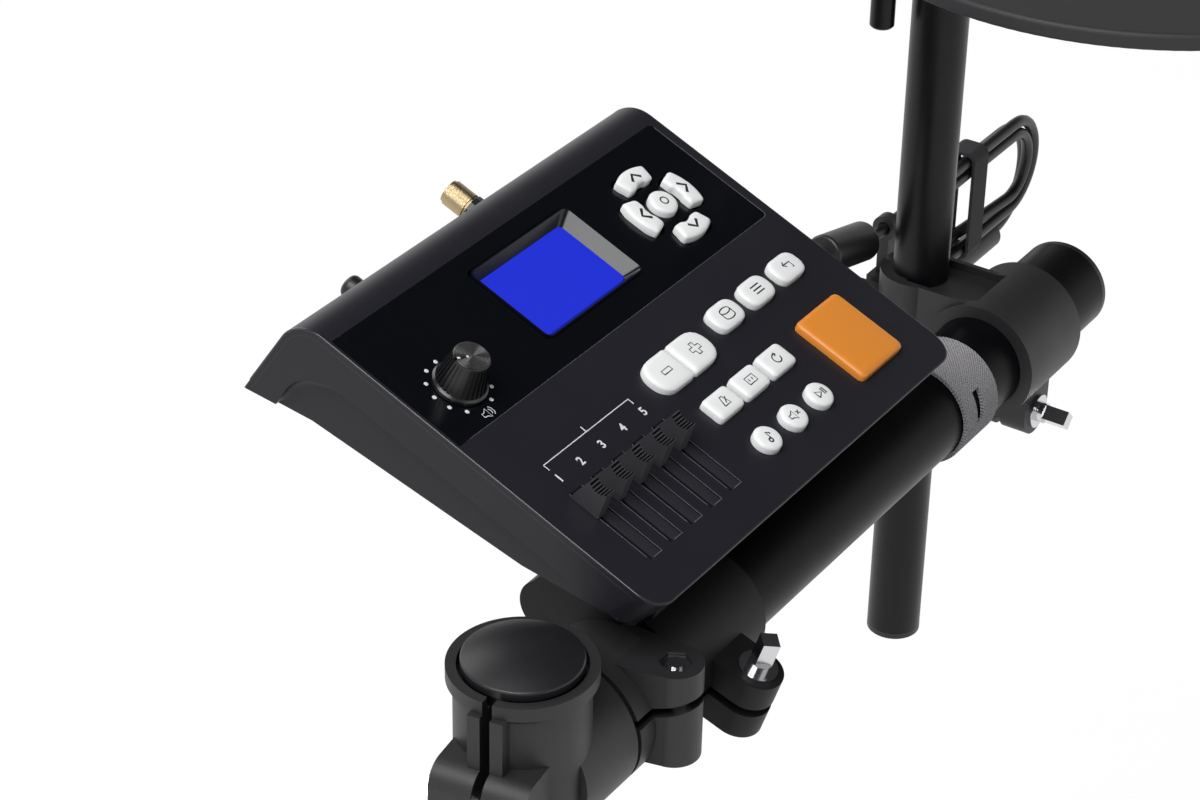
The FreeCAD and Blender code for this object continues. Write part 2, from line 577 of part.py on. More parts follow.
def panel_switches():
    """One square switch on the board under each button."""
    half = d.switch_side / 2
    top = -d.button_sink - d.button_travel - d.travel_room
    middles = [row[1] for row in BUTTONS.values()] + [row[0] for row in ROUND_BUTTONS.values()]
    switches = []
    for x, y in middles:
        switches.append(box("switch", (x - half, y - half, -d.board_drop), (x + half, y + half, top)))
    return panel_group("panel_switches", switches)


def fader_tracks():
    """Slide potentiometers under the fader slits, each open along the lever's path."""
    tracks = []
    half = d.fader_side / 2
    ends = d.fader_room + d.wall
    for x in faders:
        shell = box("track", (x - half, d.fader_front - ends, -d.board_drop),
                    (x + half, d.fader_back + ends, -d.panel_thick))
        room = box("track slot", (x - d.slit_width / 2, d.fader_front, -d.board_drop + d.wall),
                   (x + d.slit_width / 2, d.fader_back, -d.panel_thick + d.overrun))
        tracks.append(cut("fader track", shell, [room]))
    return panel_group("fader_tracks", tracks)


def volume_pot():
    x, y = knob
    half = d.pot_side / 2
    can = box("pot can", (x - half, y - half, -d.board_drop), (x + half, y + half, -d.panel_thick))
    bush = cylinder("pot bush", d.bush_radius, d.panel_thick, (x, y, -d.panel_thick))
    bore = cylinder("pot bore", d.shaft_radius + d.shaft_play, d.board_drop + d.overrun * 2 - d.wall,
                    (x, y, -d.board_drop + d.wall))
    return on_panel(cut("volume_pot", fuse("pot body", [can, bush]), [bore]))


def volume_knob():
    """Fluted cap on a skirt, over the shaft that turns in the potentiometer's bush."""
    body = new_body("volume_knob")
    side = sketch(body, "half profile", "XZ_Plane")
    top = d.knob_height
    draw_loop(side, [(ZERO, d.knob_gap), (d.knob_radius, d.knob_gap), (d.knob_radius, d.knob_skirt),
                     (d.knob_waist, d.knob_skirt + d.knob_round), (d.knob_top, top), (ZERO, top)])
    revolve(body, side)
    dress(body, "Fillet", lambda e: at_height(e, top), d.knob_round)
    flute = sketch(body, "flute", "XZ_Plane")
    foot = d.knob_skirt + d.knob_round
    head = top - d.knob_round * 2
    draw_loop(flute, [(d.knob_waist - d.flute_depth, foot), (d.knob_waist + d.overrun, foot),
                      (d.knob_top + d.overrun, head), (d.knob_top - d.flute_depth / 2, head)])
    groove = extrude(body, "Pocket", flute, d.flute_width, symmetric=True)
    pattern = body.newObject("PartDesign::PolarPattern", "flutes")
    pattern.Originals = [groove]
    pattern.Axis = (flute, ["V_Axis"])
    pattern.Angle = 360
    pattern.Occurrences = int(d.flute_count.value)
    body.Tip = pattern
    doc.recompute()
    notch = sketch(body, "notch", "XY_Plane", top)
    across, up = d.notch_bearing.cos(), d.notch_bearing.sin()
    near, far, half = d.knob_top / 2, d.knob_radius, d.notch_width / 2
    draw_loop(notch, [(across * near - up * half, up * near + across * half),
                      (across * near + up * half, up * near - across * half),
                      (across * far + up * half, up * far - across * half),
                      (across * far - up * half, up * far + across * half)])
    extrude(body, "Pocket", notch, d.notch_depth)
    shaft = sketch(body, "shaft", "XY_Plane", d.knob_gap)
    draw_circle(shaft, ZERO, ZERO, d.shaft_radius)
    extrude(body, "Pad", shaft, d.board_drop - d.wall - d.fit_gap + d.knob_gap, True)
    x, y = knob
    base = (PANEL_BASE[0] + x, PANEL_BASE[1] + y * d.panel_tilt.cos(), PANEL_BASE[2] + y * d.panel_tilt.sin())
    return place(body, base, PANEL_TURN, d.panel_tilt)


def add_button_lip(body, middle, length, width, radius):
    """Flange under the panel that keeps the button in, over a stem for its switch."""
    lip = sketch(body, "lip", "XY_Plane", -d.panel_thick - d.lip_gap)
    draw_rounded(lip, middle, length + d.lip_width, width + d.lip_width, radius + d.lip_width / 2)
    extrude(body, "Pad", lip, d.lip_thick, True)


def panel_button(name, kind, middle, length, width, radius):
    """Moulded key: rounded top above the panel, flange below it."""
    body = new_body(name)
    face = sketch(body, "face", "XY_Plane", d.button_rise)
    draw_rounded(face, middle, length, width, radius)
    extrude(body, "Pad", face, d.button_rise + d.button_sink, True)
    if kind in INNER_SIDES:
        inner = sketch(body, "inner half", "XY_Plane", d.button_rise)
        draw_rounded(inner, inner_half(kind, middle, length), length / 2, width, d.sign_corner)
        extrude(body, "Pad", inner, d.button_rise + d.button_sink, True)
    dress(body, "Fillet", lambda e: at_height(e, d.button_rise), d.button_edge)
    add_button_lip(body, middle, length, width, radius)
    if kind == "arrow":
        bite = sketch(body, "bite", "XY_Plane", d.button_rise + d.overrun)
        draw_circle(bite, nav[0], nav[1], d.arrow_bite)
        extrude(body, "Pocket", bite, d.button_rise + d.button_sink + d.overrun * 2)
    return on_panel(body)


def round_button(name, middle, radius):
    body = new_body(name)
    face = sketch(body, "face", "XY_Plane", d.button_rise)
    draw_circle(face, middle[0], middle[1], radius)
    extrude(body, "Pad", face, d.button_rise + d.button_sink, True)
    dress(body, "Fillet", lambda e: at_height(e, d.button_rise), d.button_edge)
    lip = sketch(body, "lip", "XY_Plane", -d.panel_thick - d.lip_gap)
    draw_circle(lip, middle[0], middle[1], radius + d.lip_width / 2)
    extrude(body, "Pad", lip, d.lip_thick, True)
    return on_panel(body)


def fader_cap(number, across):
    """Narrow cap with a ribbed, hollowed top, on a thin lever."""
    body = new_body("fader_cap_%d" % number)
    side = sketch(body, "saddle profile", "YZ_Plane", across - d.cap_x / 2)
    foot = d.cap_gap
    top = foot + d.cap_height
    start = d.cap_front + d.cap_front_lean
    span = d.cap_back - d.cap_back_lean - start
    steps = int(d.rib_count.value) * 2
    crest = []
    for index in range(steps + 1):
        along_share = index / steps
        sink_share = 4 * along_share * (1 - along_share)
        notch = d.cap_rib if index % 2 else ZERO
        crest.append((start + span * along_share, top - d.cap_dip * sink_share - notch))
    draw_loop(side, [(d.cap_front, foot), *crest, (d.cap_back, foot)])
    extrude(body, "Pad", side, d.cap_x)
    lever = sketch(body, "lever", "XY_Plane", d.cap_gap)
    draw_rectangle(lever, (across, d.cap_y), d.lever_width, d.lever_length)
    extrude(body, "Pad", lever, d.board_drop - d.wall - d.fit_gap + d.cap_gap, True)
    return on_panel(body)


# Rear of the module
def rear_wall(drop):
    return d.panel_depth + d.rear_lean * drop / d.rear_drop


def power_button():
    body = new_body("power_button")
    side = sketch(body, "half profile", "XZ_Plane")
    out = d.power_rise
    draw_loop(side, [(ZERO, -d.power_sink - d.wall), (d.power_radius + d.lip_width, -d.power_sink - d.wall),
                     (d.power_radius + d.lip_width, -d.power_sink), (d.power_radius, -d.power_sink),
                     (d.power_radius, out), (ZERO, out)])
    revolve(body, side)
    dress(body, "Fillet", lambda e: at_height(e, out), d.power_radius / 2)
    return rear_place(body, d.power_x)


def rear_place(thing, across):
    """Seats a turned piece on the rear wall with its own +Z pointing backwards."""
    y, z = rear_wall(d.rear_axis_drop), -d.rear_axis_drop
    tilt = d.panel_tilt
    base = (PANEL_BASE[0] + across, PANEL_BASE[1] + y * tilt.cos() - z * tilt.sin(),
            PANEL_BASE[2] + y * tilt.sin() + z * tilt.cos())
    turn = FreeCAD.Rotation(FreeCAD.Vector(1, 0, 0), tilt.value - 90)
    return place(thing, base, turn, tilt - 90)


def rear_sockets():
    """Panel jacks with ring nuts, each bored for a plug."""
    sockets = []
    for index in range(int(d.socket_count.value)):
        across = d.socket_pitch * index
        drop = d.line_drop if index else ZERO
        out = d.rear_lean * drop / d.rear_drop
        rise = d.nut_rise if index else d.adaptor_start
        can = cylinder("jack body", d.socket_body, d.socket_length, (across, drop, out - d.socket_length))
        nut = prism("jack nut", 12, d.nut_out, rise + d.wall, (across, drop, out - d.wall), FLAT_TURN)
        bore = cylinder("jack bore", d.socket_bore, d.socket_length + rise + d.wall * 2,
                        (across, drop, out - d.socket_length + d.wall))
        sockets.append(cut("jack", fuse("jack blank", [can, nut]), [bore]))
    return rear_place(group("rear_sockets", sockets), d.phones_x)


def adaptor_plug():
    """Knurled adaptor left in the headphone socket, bored for a small plug."""
    start = d.adaptor_start
    barrel = cylinder("adaptor barrel", d.adaptor_radius, d.adaptor_length - d.adaptor_ring * 2,
                      (0, 0, start + d.adaptor_ring))
    collar = cylinder("adaptor collar", d.adaptor_radius - d.adaptor_ring / 2, d.adaptor_length, (0, 0, start))
    pin = cylinder("adaptor pin", d.adaptor_pin, d.adaptor_stem + start, (0, 0, -d.adaptor_stem))
    bore = cylinder("adaptor bore", d.adaptor_bore, d.adaptor_length + d.overrun,
                    (0, 0, start + d.adaptor_ring))
    return rear_place(cut("adaptor_plug", fuse("adaptor blank", [barrel, collar, pin]), [bore]), d.phones_x)


# Tubes and their plugs
def tube(label, radius, wall, length, base, turn):
    outer = cylinder(label + " wall", radius, length)
    inner = cylinder(label + " bore", radius - wall, length + d.overrun * 2, (0, 0, -d.overrun))
    return place(cut(label, outer, [inner]), base, turn)


def tube_plug(label, radius, wall, base, turn):
    """Push-in plug with a flange as wide as the tube."""
    stem = cylinder(label + " stem", radius - wall - d.slide_play, d.plug_length + d.overrun,
                    (0, 0, -d.plug_length))
    flange = cylinder(label + " flange", radius, d.plug_flange)
    return place(fuse(label, [stem, flange]), base, turn)


def post_plugs():
    """Domed cap that plugs the upright and laps over its wall, and a bored plug in its lower end."""
    body = new_body("post cap")
    side = sketch(body, "half profile", "XZ_Plane")
    inner = d.tube_radius - d.tube_wall - d.slide_play
    lap = d.tube_radius + d.cap_lap
    dome = lap / d.dome_angle.cos()
    centre = d.cap_skirt - dome * d.dome_angle.sin()
    corners = [(ZERO, -d.plug_length), (inner, -d.plug_length), (inner, ZERO), (lap, ZERO), (lap, d.cap_skirt)]
    for start, end in zip(corners, corners[1:]):
        side.addGeometry(Part.LineSegment(vector(*start), vector(*end)))
    circle = Part.Circle(vector(ZERO, centre), FreeCAD.Vector(0, 0, 1), dome.value)
    crown = side.addGeometry(Part.ArcOfCircle(circle, math.radians(d.dome_angle.value), math.pi / 2))
    axis = side.addGeometry(Part.LineSegment(vector(ZERO, centre + dome), vector(*corners[0])))
    for index, (across, up) in enumerate(corners[:-1]):
        hold(side, index, 1, across, up)
        constrain(side, "Coincident", index, 2, index + 1, 1)
    hold(side, crown, 1, *corners[-1])
    hold(side, crown, 3, ZERO, centre)
    constrain(side, "Coincident", crown, 2, axis, 1)
    constrain(side, "PointOnObject", crown, 2, -2)
    constrain(side, "Coincident", axis, 2, 0, 1)
    revolve(body, side)
    dress(body, "Fillet", lambda e: at_height(e, d.cap_skirt), d.edge_round)
    foot = cut("foot plug", cylinder("foot plug blank", inner, d.plug_length),
               [cylinder("foot plug bore", d.foot_bore, d.plug_length + d.overrun * 2, (0, 0, -d.overrun))])
    return group("post_plugs", [place(body, (0, 0, d.post_length)), foot])


# Split clamps: the tube's axis is local Z, the ears point to local -X and the bolt runs along local Y
def clamp_blank(name, radius, length, ear, foot=ZERO):
    centre, width, reach, half = ear
    barrel = cylinder(name + " barrel", radius, length, (0, 0, foot))
    lug = box(name + " ear", (-reach, -half, centre - width / 2), (0, half, centre + width / 2))
    nose = cylinder(name + " ear nose", width / 2, half * 2, (-reach, -half, centre), Y_TURN)
    return [barrel, lug, nose]


def clamp_cuts(name, bore, length, ear, foot=ZERO):
    centre, width, reach, half = ear
    hole = cylinder(name + " bore", bore, length + d.overrun * 2, (0, 0, foot - d.overrun))
    split = box(name + " slit", (-reach - width, -d.slit / 2, foot - d.overrun),
                (0, d.slit / 2, foot + length + d.overrun))
    bolt = cylinder(name + " bolt hole", d.bolt_radius + d.bolt_play, half * 2 + d.overrun * 2,
                    (-reach, -half - d.overrun, centre), Y_TURN)
    return [hole, split, bolt]


def nut_pocket(name, ear, side):
    """Six-sided recess that keeps the nut from turning."""
    centre, width, reach, half = ear
    start = -half - d.overrun if side < 0 else half - d.nut_recess
    return prism(name + " nut pocket", 6, d.nut_radius + d.nut_play, d.nut_recess + d.overrun,
                 (-reach, start, centre), Y_TURN)


def clamp_bolt(name, ear, side, washer=True):
    """Square-headed tension bolt with its nut; the head is on one side of the ears, on a collared washer or bare."""
    centre, width, reach, half = ear
    turn = Y_TURN if side > 0 else FreeCAD.Rotation(FreeCAD.Vector(1, 0, 0), 90)
    seat = half * side
    stem_length = half * 2 + d.bolt_tail - d.nut_recess
    stem_start = d.nut_recess - half if side > 0 else half - d.nut_recess
    stem = cylinder(name + " stem", d.bolt_radius, stem_length + d.washer_thick,
                    (-reach, stem_start - d.bolt_tail * side, centre), turn)
    nut = prism(name + " nut", 6, d.nut_radius, d.nut_recess, (-reach, -seat, centre), turn)
    pieces = [stem, nut]
    head_start = seat
    if washer:
        pieces.append(cylinder(name + " washer", d.washer_radius, d.washer_thick, (-reach, seat, centre), turn))
        pieces.append(cylinder(name + " neck", d.neck_radius, d.neck_length,
                               (-reach, seat + d.washer_thick * side, centre), turn))
        head_start = seat + (d.washer_thick + d.neck_length) * side
    pieces.append(prism(name + " head", 4, d.bolt_head * math.sqrt(0.5), d.head_length,
                        (-reach, head_start, centre), turn))
    return fuse(name, pieces)


def along_rail(thing, lift, base):
    """Turns a clamp so that its tube runs along +X and its ears point forward, lifted by an angle."""
    rise = math.radians(lift)
    across = FreeCAD.Vector(0, math.cos(rise), -math.sin(rise))
    up = FreeCAD.Vector(0, math.sin(rise), math.cos(rise))
    return place(thing, base, FreeCAD.Rotation(across, up, FreeCAD.Vector(1, 0, 0), "XYZ"))


RAIL_BASE = (0, 0, d.rail_height)
POST_TURN = FreeCAD.Rotation(FreeCAD.Vector(0, 0, 1), d.post_ear_turn.value)
ARM_EAR_LIFT = -90
post_ear = (d.post_ear_height, d.post_ear_width, d.post_ear_reach, d.post_ear_half)
module_ear = (d.panel_x + d.clamp_start + d.clamp_length / 2, d.clamp_ear_width, d.clamp_ear_reach, d.clamp_ear_half)
arm_ear = (d.arm_clamp_start + d.arm_clamp_length - d.arm_ear_width / 2, d.arm_ear_width, d.arm_ear_reach,
           d.arm_ear_half)


def on_post(thing):
    """Turns a piece of the upright's clamp round the upright."""
    return place(thing, (0, 0, 0), POST_TURN, d.post_ear_turn)


def post_ear_blank(sleeve, rim_foot):
    """Ear block with rounded front corners, under a thin flange each side of the slit."""
    half, low, high = d.post_ear_half, d.post_ear_height - d.post_ear_width / 2, d.post_ear_height + d.post_ear_width / 2
    back = d.post_ear_front - d.post_ear_round
    flange_half = d.slit / 2 + d.flange_thick
    pieces = [box("ear block", (-back, -half, low), (0, half, high)),
              box("ear front", (-d.post_ear_front, -half, low + d.post_ear_round), (0, half, high - d.post_ear_round)),
              box("slit flange", (-sleeve - d.flange_out, -flange_half, d.post_ear_height), (0, flange_half, rim_foot))]
    for level in (low + d.post_ear_round, high - d.post_ear_round):
        pieces.append(cylinder("ear corner", d.post_ear_round, half * 2, (-back, -half, level), Y_TURN))
    return on_post(fuse("upright ear", pieces))


def rail_ear_blank():
    """Upright lug beside the rail's barrel: a slanted side that runs into a round nose."""
    body = new_body("rail lug")
    plan = sketch(body, "plan", "XY_Plane", d.rail_ear_foot)
    right = d.nose_x + d.nose_radius
    touch = (d.nose_x + d.nose_radius * d.nose_touch.cos(), d.nose_radius * d.nose_touch.sin() - d.nose_y)
    draw_loop(plan, [(d.rail_ear_left, ZERO), (d.rail_ear_left, -d.rail_ear_back), touch, (d.nose_x, -d.nose_y),
                     (right, -d.nose_y), (right, ZERO)])
    height = d.rail_ear_top - d.rail_ear_foot
    extrude(body, "Pad", plan, height)
    return [body, cylinder("rail lug nose", d.nose_radius, height, (d.nose_x, -d.nose_y, d.rail_ear_foot))]


def corner_joint():
    """Upright sleeve with a flared rim and a slit flange, joined to the rail's barrel and its lug."""
    sleeve = d.tube_radius + d.sleeve_wall
    height = d.sleeve_top - d.sleeve_foot
    rim_foot = d.sleeve_top - d.rim_height
    barrel = d.tube_radius + d.barrel_wall
    blank = [cylinder("upright sleeve", sleeve, height, (0, 0, d.sleeve_foot)),
             cylinder("rim", sleeve + d.rim_flare, d.rim_height, (0, 0, rim_foot)),
             cone("rim flare", sleeve, sleeve + d.rim_flare, d.rim_flare, (0, 0, rim_foot - d.rim_flare)),
             post_ear_blank(sleeve, rim_foot),
             cylinder("rail barrel", barrel, d.barrel_end, RAIL_BASE, X_TURN)]
    blank += rail_ear_blank()
    upright_cuts = clamp_cuts("upright", d.tube_radius + d.tube_play, height, post_ear, d.sleeve_foot)
    upright_cuts.append(nut_pocket("upright", post_ear, -1))
    upright_cuts.append(cylinder("cap recess", d.tube_radius + d.cap_recess, d.recess_depth + d.overrun,
                                 (0, 0, d.sleeve_top - d.recess_depth)))
    bore = cylinder("rail bore", d.tube_radius + d.tube_play, d.barrel_end, (d.rail_start, 0, d.rail_height), X_TURN)
    ring = cut("relief ring", cylinder("ring outer", barrel + d.overrun, d.groove_width),
               [cylinder("ring inner", barrel - d.groove_depth, d.groove_width)])
    place(ring, (0, 0, d.groove_start))
    reach = d.nose_y + d.nose_radius * 2
    split = box("rail slit", (-reach, -d.slit / 2, d.groove_start),
                (0, d.slit / 2, d.nose_x + d.nose_radius + d.overrun))
    rail_cuts = along_rail(fuse("rail cuts", [ring, split]), d.ear_tilt.value, RAIL_BASE)
    lug_height = d.rail_ear_top - d.rail_ear_foot
    nose = (d.nose_x, -d.nose_y)
    lug_cuts = [cylinder("rail bolt hole", d.bolt_radius + d.bolt_play, lug_height + d.overrun * 2,
                         (*nose, d.rail_ear_foot - d.overrun)),
                cylinder("rail bolt recess", d.low_head + d.nut_play, d.nut_recess + d.overrun,
                         (*nose, d.rail_ear_foot - d.overrun)),
                prism("rail nut pocket", 6, d.nut_radius + d.nut_play, d.nut_recess + d.overrun,
                      (*nose, d.rail_ear_top - d.nut_recess), FLAT_TURN)]
    cuts = [on_post(fuse("upright cuts", upright_cuts)), bore, rail_cuts] + lug_cuts
    return cut("corner_joint", fuse("joint blank", blank), cuts)


def corner_bolts():
    """Square-headed bolt through the upright's ear, low-headed bolt with its nut sunk in the rail's lug."""
    nose = (d.nose_x, -d.nose_y)
    foot = d.rail_ear_foot + d.bolt_sink
    thick = d.nut_recess - d.bolt_sink
    head = cylinder("rail bolt head", d.low_head, thick, (*nose, foot))
    stem = cylinder("rail bolt stem", d.bolt_radius, d.rail_ear_top - foot, (*nose, foot))
    nut = prism("rail bolt nut", 6, d.nut_radius, thick, (*nose, d.rail_ear_top - d.nut_recess), FLAT_TURN)
    post_bolt = on_post(clamp_bolt("post bolt", post_ear, 1, False))
    return group("corner_bolts", [post_bolt, fuse("rail bolt", [head, stem, nut])])


def module_clamp():
    """Split sleeve round the rail, with a hub behind it and a flat saddle on top."""
    start = d.panel_x + d.clamp_start
    sleeve = d.tube_radius + d.clamp_wall
    ring = along_rail(fuse("module sleeve", clamp_blank("sleeve", sleeve, d.clamp_length, module_ear, start)),
                      -d.ear_tilt.value, RAIL_BASE)
    web = new_body("clamp web")
    side = sketch(web, "web profile", "YZ_Plane", d.clamp_start)
    hub = (d.rail_back + d.hub_back, -d.rail_drop - d.hub_drop)
    draw_loop(side, [(d.saddle_front, -d.saddle_drop), (d.saddle_back, -d.saddle_drop),
                     (hub[0] + d.hub_radius, hub[1]), (hub[0], hub[1] - d.hub_radius),
                     (d.rail_back, -d.rail_drop - d.hub_radius), (d.rail_back, -d.rail_drop)])
    extrude(web, "Pad", side, d.clamp_length)
    on_panel(web)
    knuckle = cylinder("clamp hub", d.hub_radius, d.clamp_length, (d.clamp_start, hub[0], hub[1]), X_TURN)
    sleeve_cuts = clamp_cuts("sleeve", d.tube_radius + d.slide_play, d.clamp_length, module_ear, start)
    sleeve_cuts.append(nut_pocket("sleeve", module_ear, -1))
    cuts = along_rail(fuse("module sleeve cuts", sleeve_cuts), -d.ear_tilt.value, RAIL_BASE)
    blank = fuse("clamp blank", [ring, web, panel_group("hub blank", [knuckle])])
    return cut("module_clamp", blank, [cuts])


def module_bracket():
    """Wedge block on the clamp's saddle with a plate along the casing's underside."""
    body = new_body("module_bracket")
    side = sketch(body, "side profile", "YZ_Plane", d.clamp_start + d.bracket_inset)
    front_slope = (d.knee_drop - d.front_drop) / (d.knee_back - d.front_back)
    back_slope = (d.heel_drop - d.knee_drop) / (d.heel_back - d.knee_back)
    tail = d.knee_drop + (d.bracket_back - d.knee_back) * back_slope
    front = d.front_drop + (d.saddle_front - d.front_back) * front_slope
    draw_loop(side, [(d.saddle_front, -d.saddle_drop), (d.saddle_back, -d.saddle_drop),
                     (d.knee_back, -d.knee_drop - d.bracket_thick), (d.bracket_back, -tail - d.bracket_thick),
                     (d.bracket_back, -tail), (d.knee_back, -d.knee_drop), (d.saddle_front, -front)])
    extrude(body, "Pad", side, d.clamp_length - d.bracket_inset * 2)
    return on_panel(body)


def module_clamp_bolt():
    return group("module_clamp_bolt", [along_rail(clamp_bolt("module bolt", module_ear, 1), -d.ear_tilt.value,
                                                  RAIL_BASE)])


LUG_EAR = (ZERO, d.arm_lug_width, ZERO, d.arm_lug_half)


def on_lug(thing):
    """Turns a fastening so that its bolt runs along the rail through the lug behind the arm."""
    back = d.arm_y + (d.arm_radius + d.arm_collar_wall + d.arm_lug_reach) / 2
    return place(thing, (d.arm_x, back, d.rail_height), FreeCAD.Rotation(FreeCAD.Vector(0, 0, 1), 90))


def arm_clamp():
    """Rail collar and upright collar in one casting, with a lipped tray round the arm's mouth and a lead clip."""
    collar = d.tube_radius + d.arm_clamp_wall
    rail = along_rail(fuse("arm rail collar", clamp_blank("collar", collar, d.arm_clamp_length, arm_ear,
                                                          d.arm_clamp_start)), ARM_EAR_LIFT, RAIL_BASE)
    arm_outer = d.arm_radius + d.arm_collar_wall
    foot = d.rail_height - d.arm_collar_drop
    top = d.rail_height + d.arm_collar_rise
    upright = cylinder("arm collar", arm_outer, top - foot, (d.arm_x, d.arm_y, foot))
    left = d.arm_x - d.arm_block / 2
    right = d.arm_x + d.arm_block / 2
    bridge = box("arm bridge", (left, 0, foot), (right, d.arm_y, top))
    lug = box("arm lug", (d.arm_x - d.arm_lug_half, d.arm_y, d.rail_height - d.arm_lug_width / 2),
              (d.arm_x + d.arm_lug_half, d.arm_y + d.arm_lug_reach, d.rail_height + d.arm_lug_width / 2))
    clip_radius = d.cord_radius + d.cord_play + d.clip_wall
    stalk = box("clip stalk", (d.clip_start, d.lead_y - d.clip_wall, d.rail_height),
                (d.clip_start + d.clip_width, d.lead_y + d.clip_wall, d.lead_z))
    ring = cylinder("clip ring", clip_radius, d.clip_width, (d.clip_start, d.lead_y, d.lead_z), X_TURN)
    blank = fuse("arm clamp blank", [rail, upright, bridge, lug, stalk, ring])
    collar_cuts = clamp_cuts("collar", d.tube_radius + d.tube_play, d.arm_clamp_length, arm_ear, d.arm_clamp_start)
    collar_cuts.append(nut_pocket("collar", arm_ear, -1))
    cuts = [along_rail(fuse("arm rail cuts", collar_cuts), ARM_EAR_LIFT, RAIL_BASE)]
    cuts.append(cylinder("arm bore", d.arm_radius + d.slide_play, top - foot + d.overrun * 2,
                         (d.arm_x, d.arm_y, foot - d.overrun)))
    cuts.append(box("tray", (left + d.tray_lip, d.tray_lip, top - d.tray_depth),
                    (right - d.tray_lip, d.arm_y, top + d.overrun)))
    cuts.append(box("arm slit", (d.arm_x - d.slit / 2, d.arm_y, foot - d.overrun),
                    (d.arm_x + d.slit / 2, d.arm_y + d.arm_lug_reach + d.overrun, top + d.overrun)))
    lug_bolt = cylinder("lug bolt hole", d.bolt_radius + d.bolt_play, (d.arm_lug_half + d.overrun) * 2,
                        (0, -d.arm_lug_half - d.overrun, 0), Y_TURN)
    cuts.append(on_lug(group("lug cuts", [lug_bolt, nut_pocket("lug", LUG_EAR, -1)])))
    cuts.append(cylinder("clip bore", d.cord_radius + d.cord_play, d.clip_width + d.overrun * 2,
                         (d.clip_start - d.overrun, d.lead_y, d.lead_z), X_TURN))
    return cut("arm_clamp", blank, cuts)


def arm_clamp_bolts():
    collar_bolt = along_rail(clamp_bolt("collar bolt", arm_ear, 1), ARM_EAR_LIFT, RAIL_BASE)
    return group("arm_clamp_bolts", [collar_bolt, on_lug(clamp_bolt("lug bolt", LUG_EAR, 1))])


# Rod holder on the arm's head, cranked rod and pad; the rod's own frame points at the pad's middle
ROD_BASE = (d.arm_x + d.rod_out * d.rod_bearing.cos(), d.arm_y + d.rod_out * d.rod_bearing.sin(), ZERO)
ROD_TURN = FreeCAD.Rotation(FreeCAD.Vector(0, 0, 1), d.pad_bearing.value)
ARM_TOP = d.arm_foot + d.arm_length
EYE_TOP = d.rod_level - d.rod_bend - d.fit_gap
HOLDER_TURN = FreeCAD.Rotation(FreeCAD.Vector(0, 0, 1), d.rod_bearing.value)


def rod_holder():
    """Cap on the arm's head with an eye for the rod beside it and a tapped boss for its thumb screw."""
    foot = ARM_TOP - d.holder_height
    height = d.holder_height + d.holder_top
    eye_height = EYE_TOP - foot
    eye_radius = d.rod_radius + d.holder_wall
    head = cylinder("holder head", d.arm_radius + d.holder_wall, height, (0, 0, foot))
    eye = cylinder("holder eye", eye_radius, eye_height, (d.rod_out, 0, foot))
    bridge = box("holder bridge", (0, -eye_radius, foot), (d.rod_out, eye_radius, EYE_TOP))
    cuts = [cylinder("holder socket", d.arm_radius + d.tube_play, d.holder_height + d.overrun,
                     (0, 0, foot - d.overrun)),
            cylinder("eye bore", d.rod_radius + d.rod_play, height + d.overrun * 2,
                     (d.rod_out, 0, foot - d.overrun)),
            cylinder("thumb hole", d.bolt_radius + d.bolt_play, eye_radius + d.overrun,
                     (d.rod_out, 0, foot + eye_height / 2), X_TURN)]
    holder = cut("rod_holder", fuse("holder blank", [head, eye, bridge]), cuts)
    return place(holder, (d.arm_x, d.arm_y, 0), HOLDER_TURN, d.rod_bearing)


def thumb_screw():
    foot = ARM_TOP - d.holder_height
    level = foot + (EYE_TOP - foot) / 2
    start = d.rod_out + d.rod_radius + d.cord_play
    grip = d.rod_out + d.rod_radius + d.holder_wall + d.thumb_gap
    stem = cylinder("thumb stem", d.bolt_radius, grip - start + d.overrun, (start, 0, level), X_TURN)
    knob_end = prism("thumb grip", 8, d.thumb_radius, d.thumb_length, (grip, 0, level), X_TURN)
    return place(fuse("thumb_screw", [stem, knob_end]), (d.arm_x, d.arm_y, 0), HOLDER_TURN, d.rod_bearing)


def l_rod():
    """Round rod swept up the holder's eye and over toward the pad."""
    body = new_body("l_rod")
    path = sketch(body, "rod path", "XZ_Plane")
    shoulder = d.rod_level - d.rod_bend
    path.addGeometry(Part.LineSegment(vector(ZERO, d.rod_foot), vector(ZERO, shoulder)))
    bend = Part.Circle(vector(d.rod_bend, shoulder), FreeCAD.Vector(0, 0, 1), d.rod_bend.value)
    path.addGeometry(Part.ArcOfCircle(bend, math.pi / 2, math.pi))
    path.addGeometry(Part.LineSegment(vector(d.rod_bend, d.rod_level), vector(d.rod_reach, d.rod_level)))
    constrain(path, "Tangent", 0, 2, 1, 2)
    constrain(path, "Tangent", 1, 1, 2, 1)
    constrain(path, "Horizontal", 2)
    hold(path, 0, 1, ZERO, d.rod_foot)
    hold(path, 0, 2, ZERO, shoulder)
    dimension(path, "Radius", 1, d.rod_bend)
    dimension(path, "DistanceX", -1, 1, 2, 2, d.rod_reach)
    settle(path)
    section = sketch(body, "rod section", "XY_Plane", d.rod_foot)
    draw_circle(section, ZERO, ZERO, d.rod_radius)
    settle(section)
    doc.recompute()
    pipe = body.newObject("PartDesign::AdditivePipe", "Pipe")
    pipe.Profile = section
    pipe.Spine = (path, ["Edge1", "Edge2", "Edge3"])
    doc.recompute()
    dress(body, "Chamfer", lambda e: at_height(e, d.rod_foot), d.edge_round)
    return place(body, ROD_BASE, ROD_TURN, d.pad_bearing)


